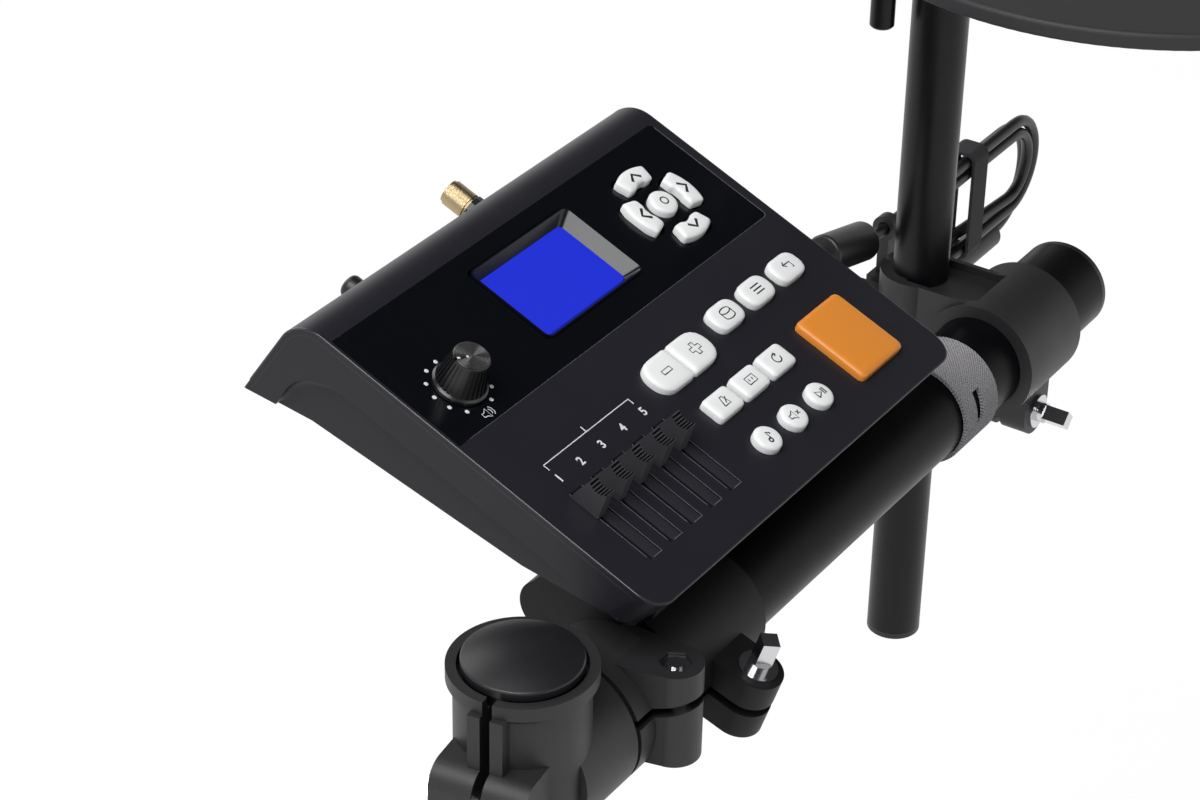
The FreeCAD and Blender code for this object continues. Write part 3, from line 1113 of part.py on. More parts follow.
def pad_bowl():
    """Two half profiles turned about the pad's axis: the plate with its wall, and the bowl's floor."""
    plate = d.pad_radius - d.rubber_lap
    foot = d.pad_base - d.shell_depth
    narrow = d.shell_radius - d.shell_taper
    body = new_body("pad bowl")
    side = sketch(body, "half profile", "XZ_Plane")
    draw_loop(side, [(ZERO, foot), (narrow, foot), (d.shell_radius, d.pad_base), (plate, d.pad_base),
                     (plate, d.pad_base + d.pad_plate), (ZERO, d.pad_base + d.pad_plate)])
    revolve(body, side)
    room = sketch(body, "room profile", "XZ_Plane")
    draw_loop(room, [(ZERO, foot + d.shell_wall), (narrow - d.shell_wall, foot + d.shell_wall),
                     (d.shell_radius - d.shell_wall, d.pad_base), (ZERO, d.pad_base)])
    settle(room)
    groove = body.newObject("PartDesign::Groove", "Groove")
    groove.Profile = room
    groove.ReferenceAxis = (room, ["V_Axis"])
    groove.Angle = 360
    doc.recompute()
    return place(body, (d.pad_out, 0, 0))


def pad_shell():
    """Rigid plate over a hollow bowl, with a socket that grips the rod."""
    start = d.pad_out - d.shell_radius
    socket = cylinder("rod socket", d.boot_radius, d.boot_length, (start, 0, d.rod_level), X_TURN)
    bore = cylinder("rod socket bore", d.rod_radius + d.tube_play, d.rod_reach + d.cord_play - start + d.overrun,
                    (start - d.overrun, 0, d.rod_level), X_TURN)
    return place(cut("pad_shell", fuse("pad blank", [pad_bowl(), socket]), [bore]), ROD_BASE, ROD_TURN, d.pad_bearing)


def pad_rubber():
    """Crowned playing face that wraps the plate's edge."""
    body = new_body("pad_rubber")
    side = sketch(body, "half profile", "XZ_Plane")
    plate = d.pad_radius - d.rubber_lap
    top = d.pad_base + d.pad_rim
    draw_loop(side, [(ZERO, d.pad_base + d.pad_plate), (plate, d.pad_base + d.pad_plate), (plate, d.pad_base),
                     (d.pad_radius, d.pad_base), (d.pad_radius, top), (ZERO, top + d.pad_crown)])
    revolve(body, side)
    dress(body, "Fillet", lambda e: at_height(e, top) or (at_height(e, d.pad_base) and
          e.BoundBox.XMax > (plate + d.rubber_lap / 2).value), d.pad_round)
    middle = (ROD_BASE[0] + d.pad_out * d.pad_bearing.cos(), ROD_BASE[1] + d.pad_out * d.pad_bearing.sin(), ZERO)
    return place(body, middle)


def cable_strap():
    """Woven band round the rail with a buttonhole slot."""
    inner = d.tube_radius + d.strap_gap
    band = cylinder("strap band", inner + d.strap_thick, d.strap_width)
    hole = cylinder("strap hole", inner, d.strap_width + d.overrun * 2, (0, 0, -d.overrun))
    half = d.strap_slot_length / 2
    slot = box("strap slot", (0, -half, d.strap_slot_x - d.strap_slot / 2),
               (inner + d.strap_thick + d.overrun, half, d.strap_slot_x + d.strap_slot / 2))
    return along_rail(cut("cable_strap", band, [hole, slot]), -d.strap_bearing.value,
                      (d.strap_x, 0, d.rail_height))


# Lead: straight runs joined by tangent arcs, one section swept along the whole wire
def cord_wire(points, trims):
    """Wire through the points, with each inner corner rounded by an arc of the given trim."""
    edges = []
    start = points[0]
    for before, corner, after, trim in zip(points, points[1:], points[2:], trims):
        inward = (before - corner).normalize()
        onward = (after - corner).normalize()
        half_turn = (math.pi - inward.getAngle(onward)) / 2
        radius = trim / math.tan(half_turn)
        print("lead bend radius %.1f" % radius)
        first = corner + inward * trim
        last = corner + onward * trim
        middle = (inward + onward).normalize()
        centre = corner + middle * math.hypot(radius, trim)
        edges.append(Part.LineSegment(start, first).toShape())
        edges.append(Part.Arc(first, centre - middle * radius, last).toShape())
        start = last
    edges.append(Part.LineSegment(start, points[-1]).toShape())
    return edges


def swept_cord(label, edges):
    """Solid tube along the edges, kept in step with section times length."""
    wire = Part.Wire(edges)
    begin = edges[0].Vertexes[0].Point
    heading = edges[0].tangentAt(edges[0].FirstParameter)
    ring = Part.Wire(Part.makeCircle(d.cord_radius.value, begin, heading))
    thing = doc.addObject("Part::Feature", label)
    thing.Shape = wire.makePipeShell([ring], True, False)
    thing.Placement = FreeCAD.Placement()
    share = thing.Shape.Volume / (math.pi * d.cord_radius.value ** 2 * wire.Length)
    print("%s length %.0f volume share %.3f" % (label, wire.Length, share))
    return thing, wire


def panel_point(across, back, drop):
    """A point of the panel's frame in the rack's frame."""
    tilt = math.radians(d.panel_tilt.value)
    base = FreeCAD.Vector(*[one.value for one in PANEL_BASE])
    return base + FreeCAD.Vector(across.value, back.value * math.cos(tilt) + drop.value * math.sin(tilt),
                                 back.value * math.sin(tilt) - drop.value * math.cos(tilt))


def world(x, y, z):
    return FreeCAD.Vector(as_size(x).value, as_size(y).value, as_size(z).value)


neck_drop = d.knee_drop + d.port_drop
neck_end = d.port_x + d.port_length + d.neck_out
CHOKE_IN = world(d.choke_x, d.lead_y + d.lead_bow, d.lead_z + d.choke_rise)
CHOKE_OUT = world(d.choke_x + d.choke_span, d.lead_y, d.lead_z)
CHOKE_MIDDLE = (CHOKE_IN + CHOKE_OUT) / 2


def lead():
    """Lead from the plug under the module to the middle of the choke."""
    begin = panel_point(neck_end, d.port_y + d.port_width / 2, neck_drop)
    bend = begin + FreeCAD.Vector(d.lead_start.value, 0, 0)
    points = [begin, bend, CHOKE_IN, CHOKE_MIDDLE]
    thing, wire = swept_cord("lead", cord_wire(points, [d.cord_trim.value, d.cord_trim.value]))
    return thing


def lead_hank():
    """Rest of the lead folded into flat loops, two deep, with its tail below them."""
    pitch = (d.cord_radius * 2 + d.strand_gap).value
    left, right = d.hank_x.value, (d.hank_x + d.hank_run).value
    near, far = d.lead_y.value, d.lead_y.value + pitch
    inner = d.hank_fold.value
    outer = inner + pitch
    middle = d.lead_z.value - outer
    tail = outer + d.jack_lift.value
    heights = [outer, -outer, inner, -inner, inner, -tail]
    layers = [(near, near), (near, near), (near, near), (near, far), (far, far), (far, far)]
    edges = cord_wire([CHOKE_MIDDLE, CHOKE_OUT, world(right, near, d.lead_z)], [d.cord_trim.value])
    for index in range(1, len(heights)):
        heading = 1 if index % 2 else -1
        bend_x = right if index % 2 else left
        low, high = heights[index - 1] + middle, heights[index] + middle
        depth = layers[index][0]
        radius = abs(high - low) / 2
        top = FreeCAD.Vector(bend_x + heading * radius, depth, (low + high) / 2)
        fold = Part.Arc(FreeCAD.Vector(bend_x, depth, low), top, FreeCAD.Vector(bend_x, depth, high))
        edges.append(fold.toShape())
        end_x = left if index % 2 else right
        if index == len(heights) - 1:
            end_x = right - d.cord_radius.value * 2
        edges.append(Part.LineSegment(FreeCAD.Vector(bend_x, depth, high),
                                      FreeCAD.Vector(end_x, layers[index][1], high)).toShape())
    thing, wire = swept_cord("lead_hank", edges)
    points = wire.discretize(Distance=d.cord_radius.value)
    skip = int(d.hank_fold.value / d.cord_radius.value) + 2
    gaps = [a.distanceToPoint(b) for i, a in enumerate(points) for b in points[i + skip:]]
    print("hank least gap to itself %.2f" % (min(gaps) - 2 * d.cord_radius.value))
    return thing


def lead_choke():
    """Moulded sleeve on the lead's straight run."""
    heading = (CHOKE_OUT - CHOKE_IN).normalize()
    body = new_body("lead_choke")
    side = sketch(body, "half profile", "XZ_Plane")
    half = d.choke_length / 2
    bore = d.cord_radius + d.slide_play
    draw_loop(side, [(bore, -half), (d.choke_radius, -half), (d.choke_radius, half), (bore, half)])
    revolve(body, side)
    dress(body, "Fillet", lambda e: e.BoundBox.XMax > (d.choke_radius - d.choke_round).value
          and e.BoundBox.ZLength < d.choke_round.value, d.choke_round)
    body.Placement = FreeCAD.Placement(CHOKE_MIDDLE, FreeCAD.Rotation(FreeCAD.Vector(0, 0, 1), heading))
    return body


def module_port():
    """Multi-pin plug hood under the casing, with a neck for the lead."""
    body = new_body("module_port")
    slope = (d.heel_drop - d.knee_drop) / (d.heel_back - d.knee_back)
    front = d.knee_drop + (d.port_y - d.knee_back) * slope
    back = d.knee_drop + (d.port_y + d.port_width - d.knee_back) * slope
    floor = neck_drop + d.cord_radius + d.neck_wall * 2
    side = sketch(body, "hood profile", "YZ_Plane", d.port_x)
    draw_loop(side, [(d.port_y, -front), (d.port_y + d.port_width, -back), (d.port_y + d.port_width, -floor),
                     (d.port_y, -floor)])
    extrude(body, "Pad", side, d.port_length)
    dress(body, "Fillet", lambda e: runs_along(e, "x") and e.BoundBox.ZMax < -neck_drop.value, d.port_round)
    neck = sketch(body, "neck", "YZ_Plane", d.port_x + d.port_length)
    draw_circle(neck, d.port_y + d.port_width / 2, -neck_drop, d.cord_radius + d.neck_wall)
    extrude(body, "Pad", neck, d.neck_out)
    return on_panel(body)


def hank_tie():
    """Band round all the strands of the hank."""
    body = new_body("hank_tie")
    pitch = d.cord_radius * 2 + d.strand_gap
    outer = d.hank_fold + pitch
    high = (outer + d.cord_radius + d.tie_gap) * 2
    deep = pitch + (d.cord_radius + d.tie_gap) * 2
    middle = (d.lead_y + pitch / 2, d.lead_z - outer)
    band = sketch(body, "band", "YZ_Plane", d.hank_x + (d.hank_run - d.tie_width) / 2)
    inner = d.cord_radius + d.tie_gap
    draw_rounded(band, middle, deep + d.tie_thick * 2, high + d.tie_thick * 2, inner + d.tie_thick)
    draw_rounded(band, middle, deep, high, inner)
    extrude(body, "Pad", band, d.tie_width)
    return body


def jack_plug():
    """Moulded quarter-inch plug on the lead's end."""
    pitch = d.cord_radius * 2 + d.strand_gap
    start = d.hank_x + d.hank_run - d.cord_radius * 2
    y = d.lead_y + pitch
    z = d.lead_z - (d.hank_fold + pitch) * 2 - d.jack_lift
    pin_start = start - d.jack_length
    barrel = cylinder("jack barrel", d.jack_radius, d.jack_length, (start, y, z), BACK_TURN)
    pin = cylinder("jack pin", d.jack_pin, d.jack_reach, (pin_start, y, z), BACK_TURN)
    tip = cone("jack tip", d.jack_pin, d.jack_pin / 2, d.jack_pin, (pin_start - d.jack_reach, y, z), BACK_TURN)
    return fuse("jack_plug", [barrel, pin, tip])


def finish(thing):
    """Checks one sub-part's shape and writes its file."""
    shape = thing.Shape
    if shape.isNull() or not shape.isValid() or not shape.Solids:
        raise RuntimeError("bad shape: " + thing.Label)
    shape.exportStep(os.path.join("parts", thing.Label + ".step"))
    print("%-20s solids %2d volume %10.1f" % (thing.Label, len(shape.Solids), shape.Volume))


def main():
    os.makedirs("parts", exist_ok=True)
    things = [top_shell(), bottom_shell(), gloss_panel(), lcd_bezel(), lcd_screen(), main_board(), panel_switches(),
              fader_tracks(), volume_pot(), volume_knob(), power_button(), rear_sockets(),
              adaptor_plug()]
    things += [panel_button(name, *row) for name, row in BUTTONS.items()]
    things += [round_button(name, *row) for name, row in ROUND_BUTTONS.items()]
    things += [fader_cap(index + 1, across) for index, across in enumerate(faders)]
    things += [tube("post_tube", d.tube_radius, d.tube_wall, d.post_length, (0, 0, 0), FLAT_TURN),
               tube("rail_tube", d.tube_radius, d.tube_wall, d.rail_length, (d.rail_start, 0, d.rail_height), X_TURN),
               tube("arm_tube", d.arm_radius, d.arm_wall, d.arm_length, (d.arm_x, d.arm_y, d.arm_foot), FLAT_TURN),
               tube_plug("rail_end_plug", d.tube_radius, d.tube_wall,
                         (d.rail_start + d.rail_length, 0, d.rail_height), X_TURN),
               tube_plug("arm_end_plug", d.arm_radius, d.arm_wall, (d.arm_x, d.arm_y, d.arm_foot), DOWN_TURN),
               post_plugs(), corner_joint(), corner_bolts(), module_clamp(), module_bracket(), module_clamp_bolt(),
               arm_clamp(), arm_clamp_bolts(), rod_holder(), thumb_screw(), l_rod(), pad_shell(), pad_rubber(),
               cable_strap(), lead(), lead_hank(), lead_choke(), module_port(), hank_tie(), jack_plug()]
    doc.recompute()
    failed = [one.Label for one in doc.Objects if "Invalid" in one.State or "Error" in one.State]
    if failed:
        raise RuntimeError("failed: " + ", ".join(failed))
    for thing in things:
        finish(thing)


main()
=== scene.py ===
import json
import math
import bpy
from mathutils import Matrix, Vector


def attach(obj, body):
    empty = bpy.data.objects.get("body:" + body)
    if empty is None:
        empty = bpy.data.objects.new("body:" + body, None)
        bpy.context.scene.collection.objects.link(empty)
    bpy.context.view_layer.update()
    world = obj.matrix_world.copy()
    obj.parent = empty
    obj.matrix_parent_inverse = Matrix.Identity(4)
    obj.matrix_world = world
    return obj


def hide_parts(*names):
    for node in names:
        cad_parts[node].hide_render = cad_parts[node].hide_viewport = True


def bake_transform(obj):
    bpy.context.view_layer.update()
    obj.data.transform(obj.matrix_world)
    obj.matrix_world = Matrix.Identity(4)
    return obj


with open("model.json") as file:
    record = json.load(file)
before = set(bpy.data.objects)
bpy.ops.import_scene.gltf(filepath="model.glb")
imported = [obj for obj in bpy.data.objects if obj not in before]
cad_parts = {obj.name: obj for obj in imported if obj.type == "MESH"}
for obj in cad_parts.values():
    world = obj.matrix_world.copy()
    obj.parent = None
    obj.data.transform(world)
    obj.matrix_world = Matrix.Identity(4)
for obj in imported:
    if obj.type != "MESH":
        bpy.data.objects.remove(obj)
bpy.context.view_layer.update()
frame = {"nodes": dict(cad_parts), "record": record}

nodes = frame["nodes"]
scene = bpy.context.scene


def mm(*lengths):
    """Millimetres as the metres of the scene."""
    return Vector(lengths) / 1000


# Frame of the module's panel: u to the right, v to the back, w out of the panel, in millimetres
TILT = math.radians(22.8)
RAIL_HEIGHT = 190.6
PANEL_LEFT, PANEL_AHEAD, PANEL_RISE, PANEL_WIDTH = 39.3, 5, 55.7, 200
V_AXIS = Vector((0, math.cos(TILT), math.sin(TILT)))
N_AXIS = Vector((0, -math.sin(TILT), math.cos(TILT)))
PANEL = Vector((PANEL_LEFT, 0, RAIL_HEIGHT)) - V_AXIS * PANEL_AHEAD + N_AXIS * PANEL_RISE
PANEL_MATRIX = Matrix.Translation(PANEL / 1000) @ Matrix.Rotation(TILT, 4, "X")


def on_panel(across, back, out=0):
    """Place on the panel, from millimetres along u, v and w."""
    return PANEL_MATRIX @ Matrix.Translation(mm(across, back, out))


# Camera
VIEW_RIGHT = Vector((0.55458, -0.83199, 0.01579)).normalized()
VIEW_BACK = -Vector((0.71143, 0.46421, -0.52763)).normalized()
VIEW_UP = VIEW_BACK.cross(VIEW_RIGHT).normalized()
EYE = PANEL + Vector((-717.99, -443.95, 604.34))
LENS, FILM_WIDTH, NEAREST = 96.96, 36, 0.01
bpy.ops.object.camera_add(location=EYE / 1000)
camera = bpy.context.object
camera.rotation_euler = Matrix((VIEW_RIGHT, VIEW_UP, VIEW_BACK)).transposed().to_euler()
camera.data.lens = LENS
camera.data.sensor_width = FILM_WIDTH
camera.data.clip_start = NEAREST
scene.camera = camera
scene.view_settings.view_transform = "Standard"

# Node groups and materials
GRAIN_BUMP, RIDGE_BUMP, SQUARE_ON = 0.0002, 0.0003, 0.9
COLOUR_A, COLOUR_B, COLOUR_MIXED = 6, 7, 2


def add_node(tree, kind, **values):
    """New node, with its settings and inputs given by name."""
    node = tree.nodes.new(kind)
    for name, value in values.items():
        if hasattr(node, name):
            setattr(node, name, value)
        else:
            node.inputs[name.replace("_", " ")].default_value = value
    return node


def new_group(name, inputs, outputs):
    """Empty node group with named sockets."""
    tree = bpy.data.node_groups.new(name, "ShaderNodeTree")
    for label, kind, value in inputs:
        socket = tree.interface.new_socket(label, in_out="INPUT", socket_type=kind)
        if value is not None:
            socket.default_value = value
    for label, kind in outputs:
        tree.interface.new_socket(label, in_out="OUTPUT", socket_type=kind)
    return tree, tree.nodes.new("NodeGroupInput"), tree.nodes.new("NodeGroupOutput")


def grain_group():
    """Two scales of noise: a shade, a drift of wear and a bumped normal."""
    tree, source, sink = new_group(
        "Grain", [("Fine", "NodeSocketFloat", 2500), ("Broad", "NodeSocketFloat", 40),
                  ("Depth", "NodeSocketFloat", 0.1)],
        [("Shade", "NodeSocketFloat"), ("Wear", "NodeSocketFloat"), ("Normal", "NodeSocketVector")])
    link = tree.links.new
    coords = add_node(tree, "ShaderNodeTexCoord")
    fine = add_node(tree, "ShaderNodeTexNoise", Detail=4)
    broad = add_node(tree, "ShaderNodeTexNoise", Detail=6, Roughness=0.6)
    for noise, label in ((fine, "Fine"), (broad, "Broad")):
        link(coords.outputs["Object"], noise.inputs["Vector"])
        link(source.outputs[label], noise.inputs["Scale"])
    bump = add_node(tree, "ShaderNodeBump", Distance=GRAIN_BUMP)
    link(source.outputs["Depth"], bump.inputs["Strength"])
    link(fine.outputs[0], bump.inputs["Height"])
    link(fine.outputs[0], sink.inputs["Shade"])
    link(broad.outputs[0], sink.inputs["Wear"])
    link(bump.outputs[0], sink.inputs["Normal"])
    return tree


def ridge_group():
    """Ridges round and along an axis, and rings on faces square to it, bumped over another normal."""
    tree, source, sink = new_group(
        "Ridges", [("Centre", "NodeSocketVector", (0, 0, 0)), ("Turn", "NodeSocketVector", (0, 0, 0)),
                   ("Round", "NodeSocketFloat", 0), ("Along", "NodeSocketFloat", 0),
                   ("Outward", "NodeSocketFloat", 0), ("Depth", "NodeSocketFloat", 0.5),
                   ("Normal", "NodeSocketVector", None)],
        [("Normal", "NodeSocketVector")])
    link = tree.links.new

    def calculate(operation, first, second):
        node = add_node(tree, "ShaderNodeMath", operation=operation)
        link(first, node.inputs[0])
        if isinstance(second, float):
            node.inputs[1].default_value = second
        else:
            link(second, node.inputs[1])
        return node.outputs[0]

    def turned(vector):
        turn = add_node(tree, "ShaderNodeVectorRotate", rotation_type="EULER_XYZ")
        axes = add_node(tree, "ShaderNodeSeparateXYZ")
        link(vector, turn.inputs["Vector"])
        link(source.outputs["Turn"], turn.inputs["Rotation"])
        link(turn.outputs[0], axes.inputs[0])
        return axes.outputs

    def wave(length, count):
        return calculate("SINE", calculate("MULTIPLY", length, source.outputs[count]), 0.0)

    coords = add_node(tree, "ShaderNodeTexCoord")
    shift = add_node(tree, "ShaderNodeVectorMath", operation="SUBTRACT")
    link(coords.outputs["Object"], shift.inputs[0])
    link(source.outputs["Centre"], shift.inputs[1])
    across, up, along = turned(shift.outputs[0])
    bearing = calculate("ARCTAN2", up, across)
    squares = calculate("ADD", calculate("MULTIPLY", across, across), calculate("MULTIPLY", up, up))
    spread = calculate("SQRT", squares, 0.0)
    facing = calculate("GREATER_THAN", turned(coords.outputs["Normal"])[2], SQUARE_ON)
    teeth = calculate("MULTIPLY", wave(bearing, "Round"), wave(along, "Along"))
    rings = calculate("MULTIPLY", wave(spread, "Outward"), facing)
    bump = add_node(tree, "ShaderNodeBump", Distance=RIDGE_BUMP)
    link(source.outputs["Depth"], bump.inputs["Strength"])
    link(calculate("ADD", teeth, rings), bump.inputs["Height"])
    link(source.outputs["Normal"], bump.inputs["Normal"])
    link(bump.outputs[0], sink.inputs["Normal"])
    return tree


GRAIN = grain_group()
RIDGES = ridge_group()


def surface(name, colour, rough, fine=2500, depth=0.1, shade=0.12, wear=0.08, ridges=None, glow=False, **constants):
    """Principled material whose colour and roughness drift with the grain, ridged or glowing where asked."""
    material = bpy.data.materials.new(name)
    material.use_nodes = True
    tree = material.node_tree
    link = tree.links.new
    shader = tree.nodes["Principled BSDF"]
    grain = add_node(tree, "ShaderNodeGroup", node_tree=GRAIN)
    grain.inputs["Fine"].default_value = fine
    grain.inputs["Depth"].default_value = depth
    tint = add_node(tree, "ShaderNodeMix", data_type="RGBA")
    dark = [channel * (1 - shade) for channel in colour]
    light = [min(1, channel * (1 + shade)) for channel in colour]
    tint.inputs[COLOUR_A].default_value = (*dark, 1)
    tint.inputs[COLOUR_B].default_value = (*light, 1)
    link(grain.outputs["Shade"], tint.inputs[0])
    link(tint.outputs[COLOUR_MIXED], shader.inputs["Emission Color" if glow else "Base Color"])
    span = add_node(tree, "ShaderNodeMapRange", To_Min=max(0, rough - wear), To_Max=min(1, rough + wear))
    link(grain.outputs["Wear"], span.inputs["Value"])
    link(span.outputs[0], shader.inputs["Roughness"])
    normal = grain.outputs["Normal"]
    if ridges:
        ridged = add_node(tree, "ShaderNodeGroup", node_tree=RIDGES)
        for label, value in ridges.items():
            ridged.inputs[label].default_value = value
        link(normal, ridged.inputs["Normal"])
        normal = ridged.outputs["Normal"]
    link(normal, shader.inputs["Normal"])
    for label, value in constants.items():
        shader.inputs[label.replace("_", " ")].default_value = value
    return material


def linear(red, green, blue):
    """Scene colour of an sRGB triple."""
    shares = [one / 255 for one in (red, green, blue)]
    return [s / 12.92 if s <= 0.04045 else ((s + 0.055) / 1.055) ** 2.4 for s in shares]


KNOB = (23.3, 104.0)
ADAPTOR = (124, 162.7, -25)
SPUN = {"Centre": on_panel(*KNOB).translation, "Turn": (-TILT, 0, 0), "Outward": 14000, "Depth": 0.6}
KNURL = {"Centre": on_panel(*ADAPTOR).translation, "Turn": (math.pi / 2 - TILT, 0, 0),
         "Round": 52, "Along": 8000, "Depth": 0.25}
WEAVE = {"Centre": mm(0, 0, RAIL_HEIGHT), "Turn": (0, -math.pi / 2, 0), "Round": 92, "Along": 4200, "Depth": 0.7}

# Each finish by its name: colour, roughness, and what it has beyond the plain surface
FINISHES = {
    "casing": ((29, 29, 35), 0.38, dict(fine=3500, depth=0.15, Specular_IOR_Level=0.27)),
    "gloss_black": ((7, 9, 13), 0.2, dict(fine=300, depth=0.01, wear=0.03, Specular_IOR_Level=0.35)),
    "display_blue": ((35, 50, 212), 0.5, dict(
        fine=900, depth=0.01, shade=0.02, glow=True, Emission_Strength=1, Base_Color=(0.001, 0.001, 0.004, 1),
        Specular_IOR_Level=0.05)),
    "board_green": ((10, 60, 30), 0.5, {}),
    "black_plastic": ((20, 20, 23), 0.42, dict(fine=3000, depth=0.15)),
    "socket_metal": ((160, 160, 165), 0.3, dict(Metallic=1)),
    "gold_plate": ((178, 160, 124), 0.32, dict(fine=3500, depth=0.01, ridges=KNURL, Metallic=1)),
    "white_key": ((224, 226, 226), 0.36, dict(fine=1500, depth=0.04, shade=0.02)),
    "orange_key": ((214, 132, 46), 0.42, dict(fine=1500, depth=0.04, shade=0.03)),
    "rack_plastic": ((30, 29, 31), 0.5, dict(fine=3000, depth=0.3)),
    "chrome_steel": ((205, 205, 208), 0.12, dict(Metallic=1)),
    "black_steel": ((8, 8, 11), 0.36, dict(fine=1200, depth=0.05, Specular_IOR_Level=0.26)),
    "pad_black": ((32, 32, 34), 0.6, dict(fine=2500, depth=0.3)),
    "grey_webbing": ((142, 140, 144), 0.85, dict(fine=1800, depth=0.6, ridges=WEAVE)),
    "black_cord": ((16, 16, 18), 0.4, dict(fine=1800, depth=0.1)),
    "rail_steel": ((7, 7, 10), 0.36, dict(fine=1200, depth=0.05, Specular_IOR_Level=0.1)),
    "dark_webbing": ((58, 57, 60), 0.85, dict(fine=1800, depth=0.6)),
    "socket_black": ((26, 26, 29), 0.4, dict(fine=2500, depth=0.1)),
    "knob_spun": ((16, 16, 18), 0.3, dict(fine=2500, depth=0.05, ridges=SPUN, Specular_IOR_Level=0.5)),
    # Darker copy of the rack plastic for the module clamp: painted shade of the module's shadow over it
    "shaded_clamp_plastic": ((17, 17, 19), 0.5, dict(fine=3000, depth=0.3, Specular_IOR_Level=0.22)),
    "bezel_gloss": ((12, 14, 19), 0.24, dict(fine=600, depth=0.02, Specular_IOR_Level=0.38)),
    "fader_grey": ((52, 51, 55), 0.5, dict(fine=3200, depth=0.2)),
    "fader_band": ((35, 35, 40), 0.42, dict(fine=3500, depth=0.3)),
    # Near-black strokes between the fader ribs: painted shade in the grooves
    "rib_shade": ((5, 5, 7), 0.9, dict(fine=2000, depth=0.02, Specular_IOR_Level=0.03)),
    # Pale strokes on the slot and inlay edges: painted highlights
    "edge_glint": ((96, 94, 104), 0.35, dict(fine=2000, depth=0.02)),
    "polished_edge": ((34, 34, 38), 0.2, dict(fine=2500, depth=0.02, Specular_IOR_Level=0.6)),
    "ink": ((20, 20, 22), 0.5, dict(fine=2000, depth=0.02)),
    "print": ((205, 207, 210), 0.5, dict(fine=2000, depth=0.02, shade=0.04)),
}
MATERIALS = {name: surface(name, linear(*colour), rough, **more) for name, (colour, rough, more) in FINISHES.items()}

# Solids: each in its slot's finish, or in its own
FADERS = 5
# The module clamp takes a darker copy of the rack plastic: painted shade, standing in for the module's shadow over it
OWN_FINISH = {"rail_tube": "rail_steel", "hank_tie": "dark_webbing", "rear_sockets": "socket_black",
              "volume_knob": "knob_spun", "module_clamp": "shaded_clamp_plastic"}
for number in range(1, FADERS + 1):
    OWN_FINISH["fader_cap_%d" % number] = "fader_grey"
slot_of = {row["node"]: row["material_slot"] for row in frame["record"]["subparts"]}
for name, node in nodes.items():
    node.data.materials.clear()
    node.data.materials.append(MATERIALS[OWN_FINISH.get(name, slot_of[name])])


# Hand tools
def choose(piece):
    """Leaves one piece selected and active."""
    bpy.ops.object.select_all(action="DESELECT")
    piece.select_set(True)
    bpy.context.view_layer.objects.active = piece


def settle(piece, name, finish, body):
    """Bakes the piece's place into its mesh, then dresses it and hangs it on its body."""
    piece.name = name
    choose(piece)
    bpy.ops.object.transform_apply(location=True, rotation=True, scale=True)
    piece.data.materials.clear()
    piece.data.materials.append(MATERIALS[finish])
    if body:
        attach(piece, body)


def smooth(degrees):
    """Smooths the active piece over edges flatter than this."""
    bpy.ops.object.shade_smooth_by_angle(angle=math.radians(degrees))


def copy_of(piece):
    """Copy of a piece, with its own mesh."""
    choose(piece)
    bpy.ops.object.duplicate()
    return bpy.context.object


def work(piece, kind, **values):
    """Adds a modifier with its values and applies it."""
    choose(piece)
    bpy.ops.object.modifier_add(type=kind)
    modifier = piece.modifiers[-1]
    for label, value in values.items():
        setattr(modifier, label, value)
    bpy.ops.object.modifier_apply(modifier=modifier.name)


def start_point(across, back, out):
    """One loose point to draw from, left in edit mode."""
    bpy.ops.object.select_all(action="DESELECT")
    bpy.ops.mesh.primitive_plane_add(size=0.001)
    piece = bpy.context.object
    bpy.ops.object.mode_set(mode="EDIT")
    bpy.ops.mesh.select_all(action="SELECT")
    bpy.ops.mesh.merge(type="CENTER")
    bpy.ops.transform.translate(value=mm(across, back, out))
    return piece


def pull(across, back, out):
    """Extrudes what is chosen by a step in millimetres."""
    bpy.ops.mesh.extrude_region_move(TRANSFORM_OT_translate={"value": tuple(mm(across, back, out))})


def pull_round(axis, angle, steps, back, level):
    """Extrudes what is chosen in steps, round a line along one axis through a point."""
    for _ in range(steps):
        pull(0, 0, 0)
        bpy.ops.transform.rotate(value=angle / steps, orient_axis=axis, center_override=mm(0, back, level))


def fill_outline():
    """Makes one face of the drawn outline."""
    bpy.ops.mesh.select_all(action="SELECT")
    bpy.ops.mesh.edge_face_add()


def close_mesh():
    """Turns all faces outward and leaves edit mode."""
    bpy.ops.mesh.select_all(action="SELECT")
    bpy.ops.mesh.normals_make_consistent(inside=False)
    bpy.ops.object.mode_set(mode="OBJECT")


def slab(length, width, thick, ease):
    """Flat block with eased edges."""
    bpy.ops.object.select_all(action="DESELECT")
    bpy.ops.mesh.primitive_cube_add(size=1)
    piece = bpy.context.object
    piece.scale = mm(length, width, thick)
    bpy.ops.object.transform_apply(location=False, rotation=False, scale=True)
    work(piece, "BEVEL", width=ease / 1000, segments=2)
    return piece


def curve_mesh(lines, thickness, kind="POLY", rings=2):
    """Round strokes of one thickness along lines of points, turned into a mesh."""
    data = bpy.data.curves.new("stroke", "CURVE")
    data.dimensions = "3D"
    data.bevel_depth = thickness / 2000
    data.bevel_resolution = rings
    data.use_fill_caps = True
    for line in lines:
        spline = data.splines.new(kind)
        spline.points.add(len(line) - 1)
        for point, place in zip(spline.points, line):
            point.co = (*place, 1)
        if kind == "NURBS":
            spline.order_u = 3
            spline.use_endpoint_u = True
            spline.resolution_u = 3
    piece = bpy.data.objects.new("stroke", data)
    scene.collection.objects.link(piece)
    choose(piece)
    bpy.ops.object.convert(target="MESH")
    return bpy.context.object


# Marks on the panel and on the keys
STROKE_FLAT = 0.12


def panel_marks(name, lines, thickness, middle, height, finish, body):
    """Flat strokes on the panel or on a key, given in millimetres round a middle."""
    piece = curve_mesh([[mm(x, y, 0) for x, y in line] for line in lines], thickness)
    piece.matrix_world = on_panel(*middle, height) @ Matrix.Diagonal((1, 1, STROKE_FLAT, 1))
    settle(piece, name, finish, body)


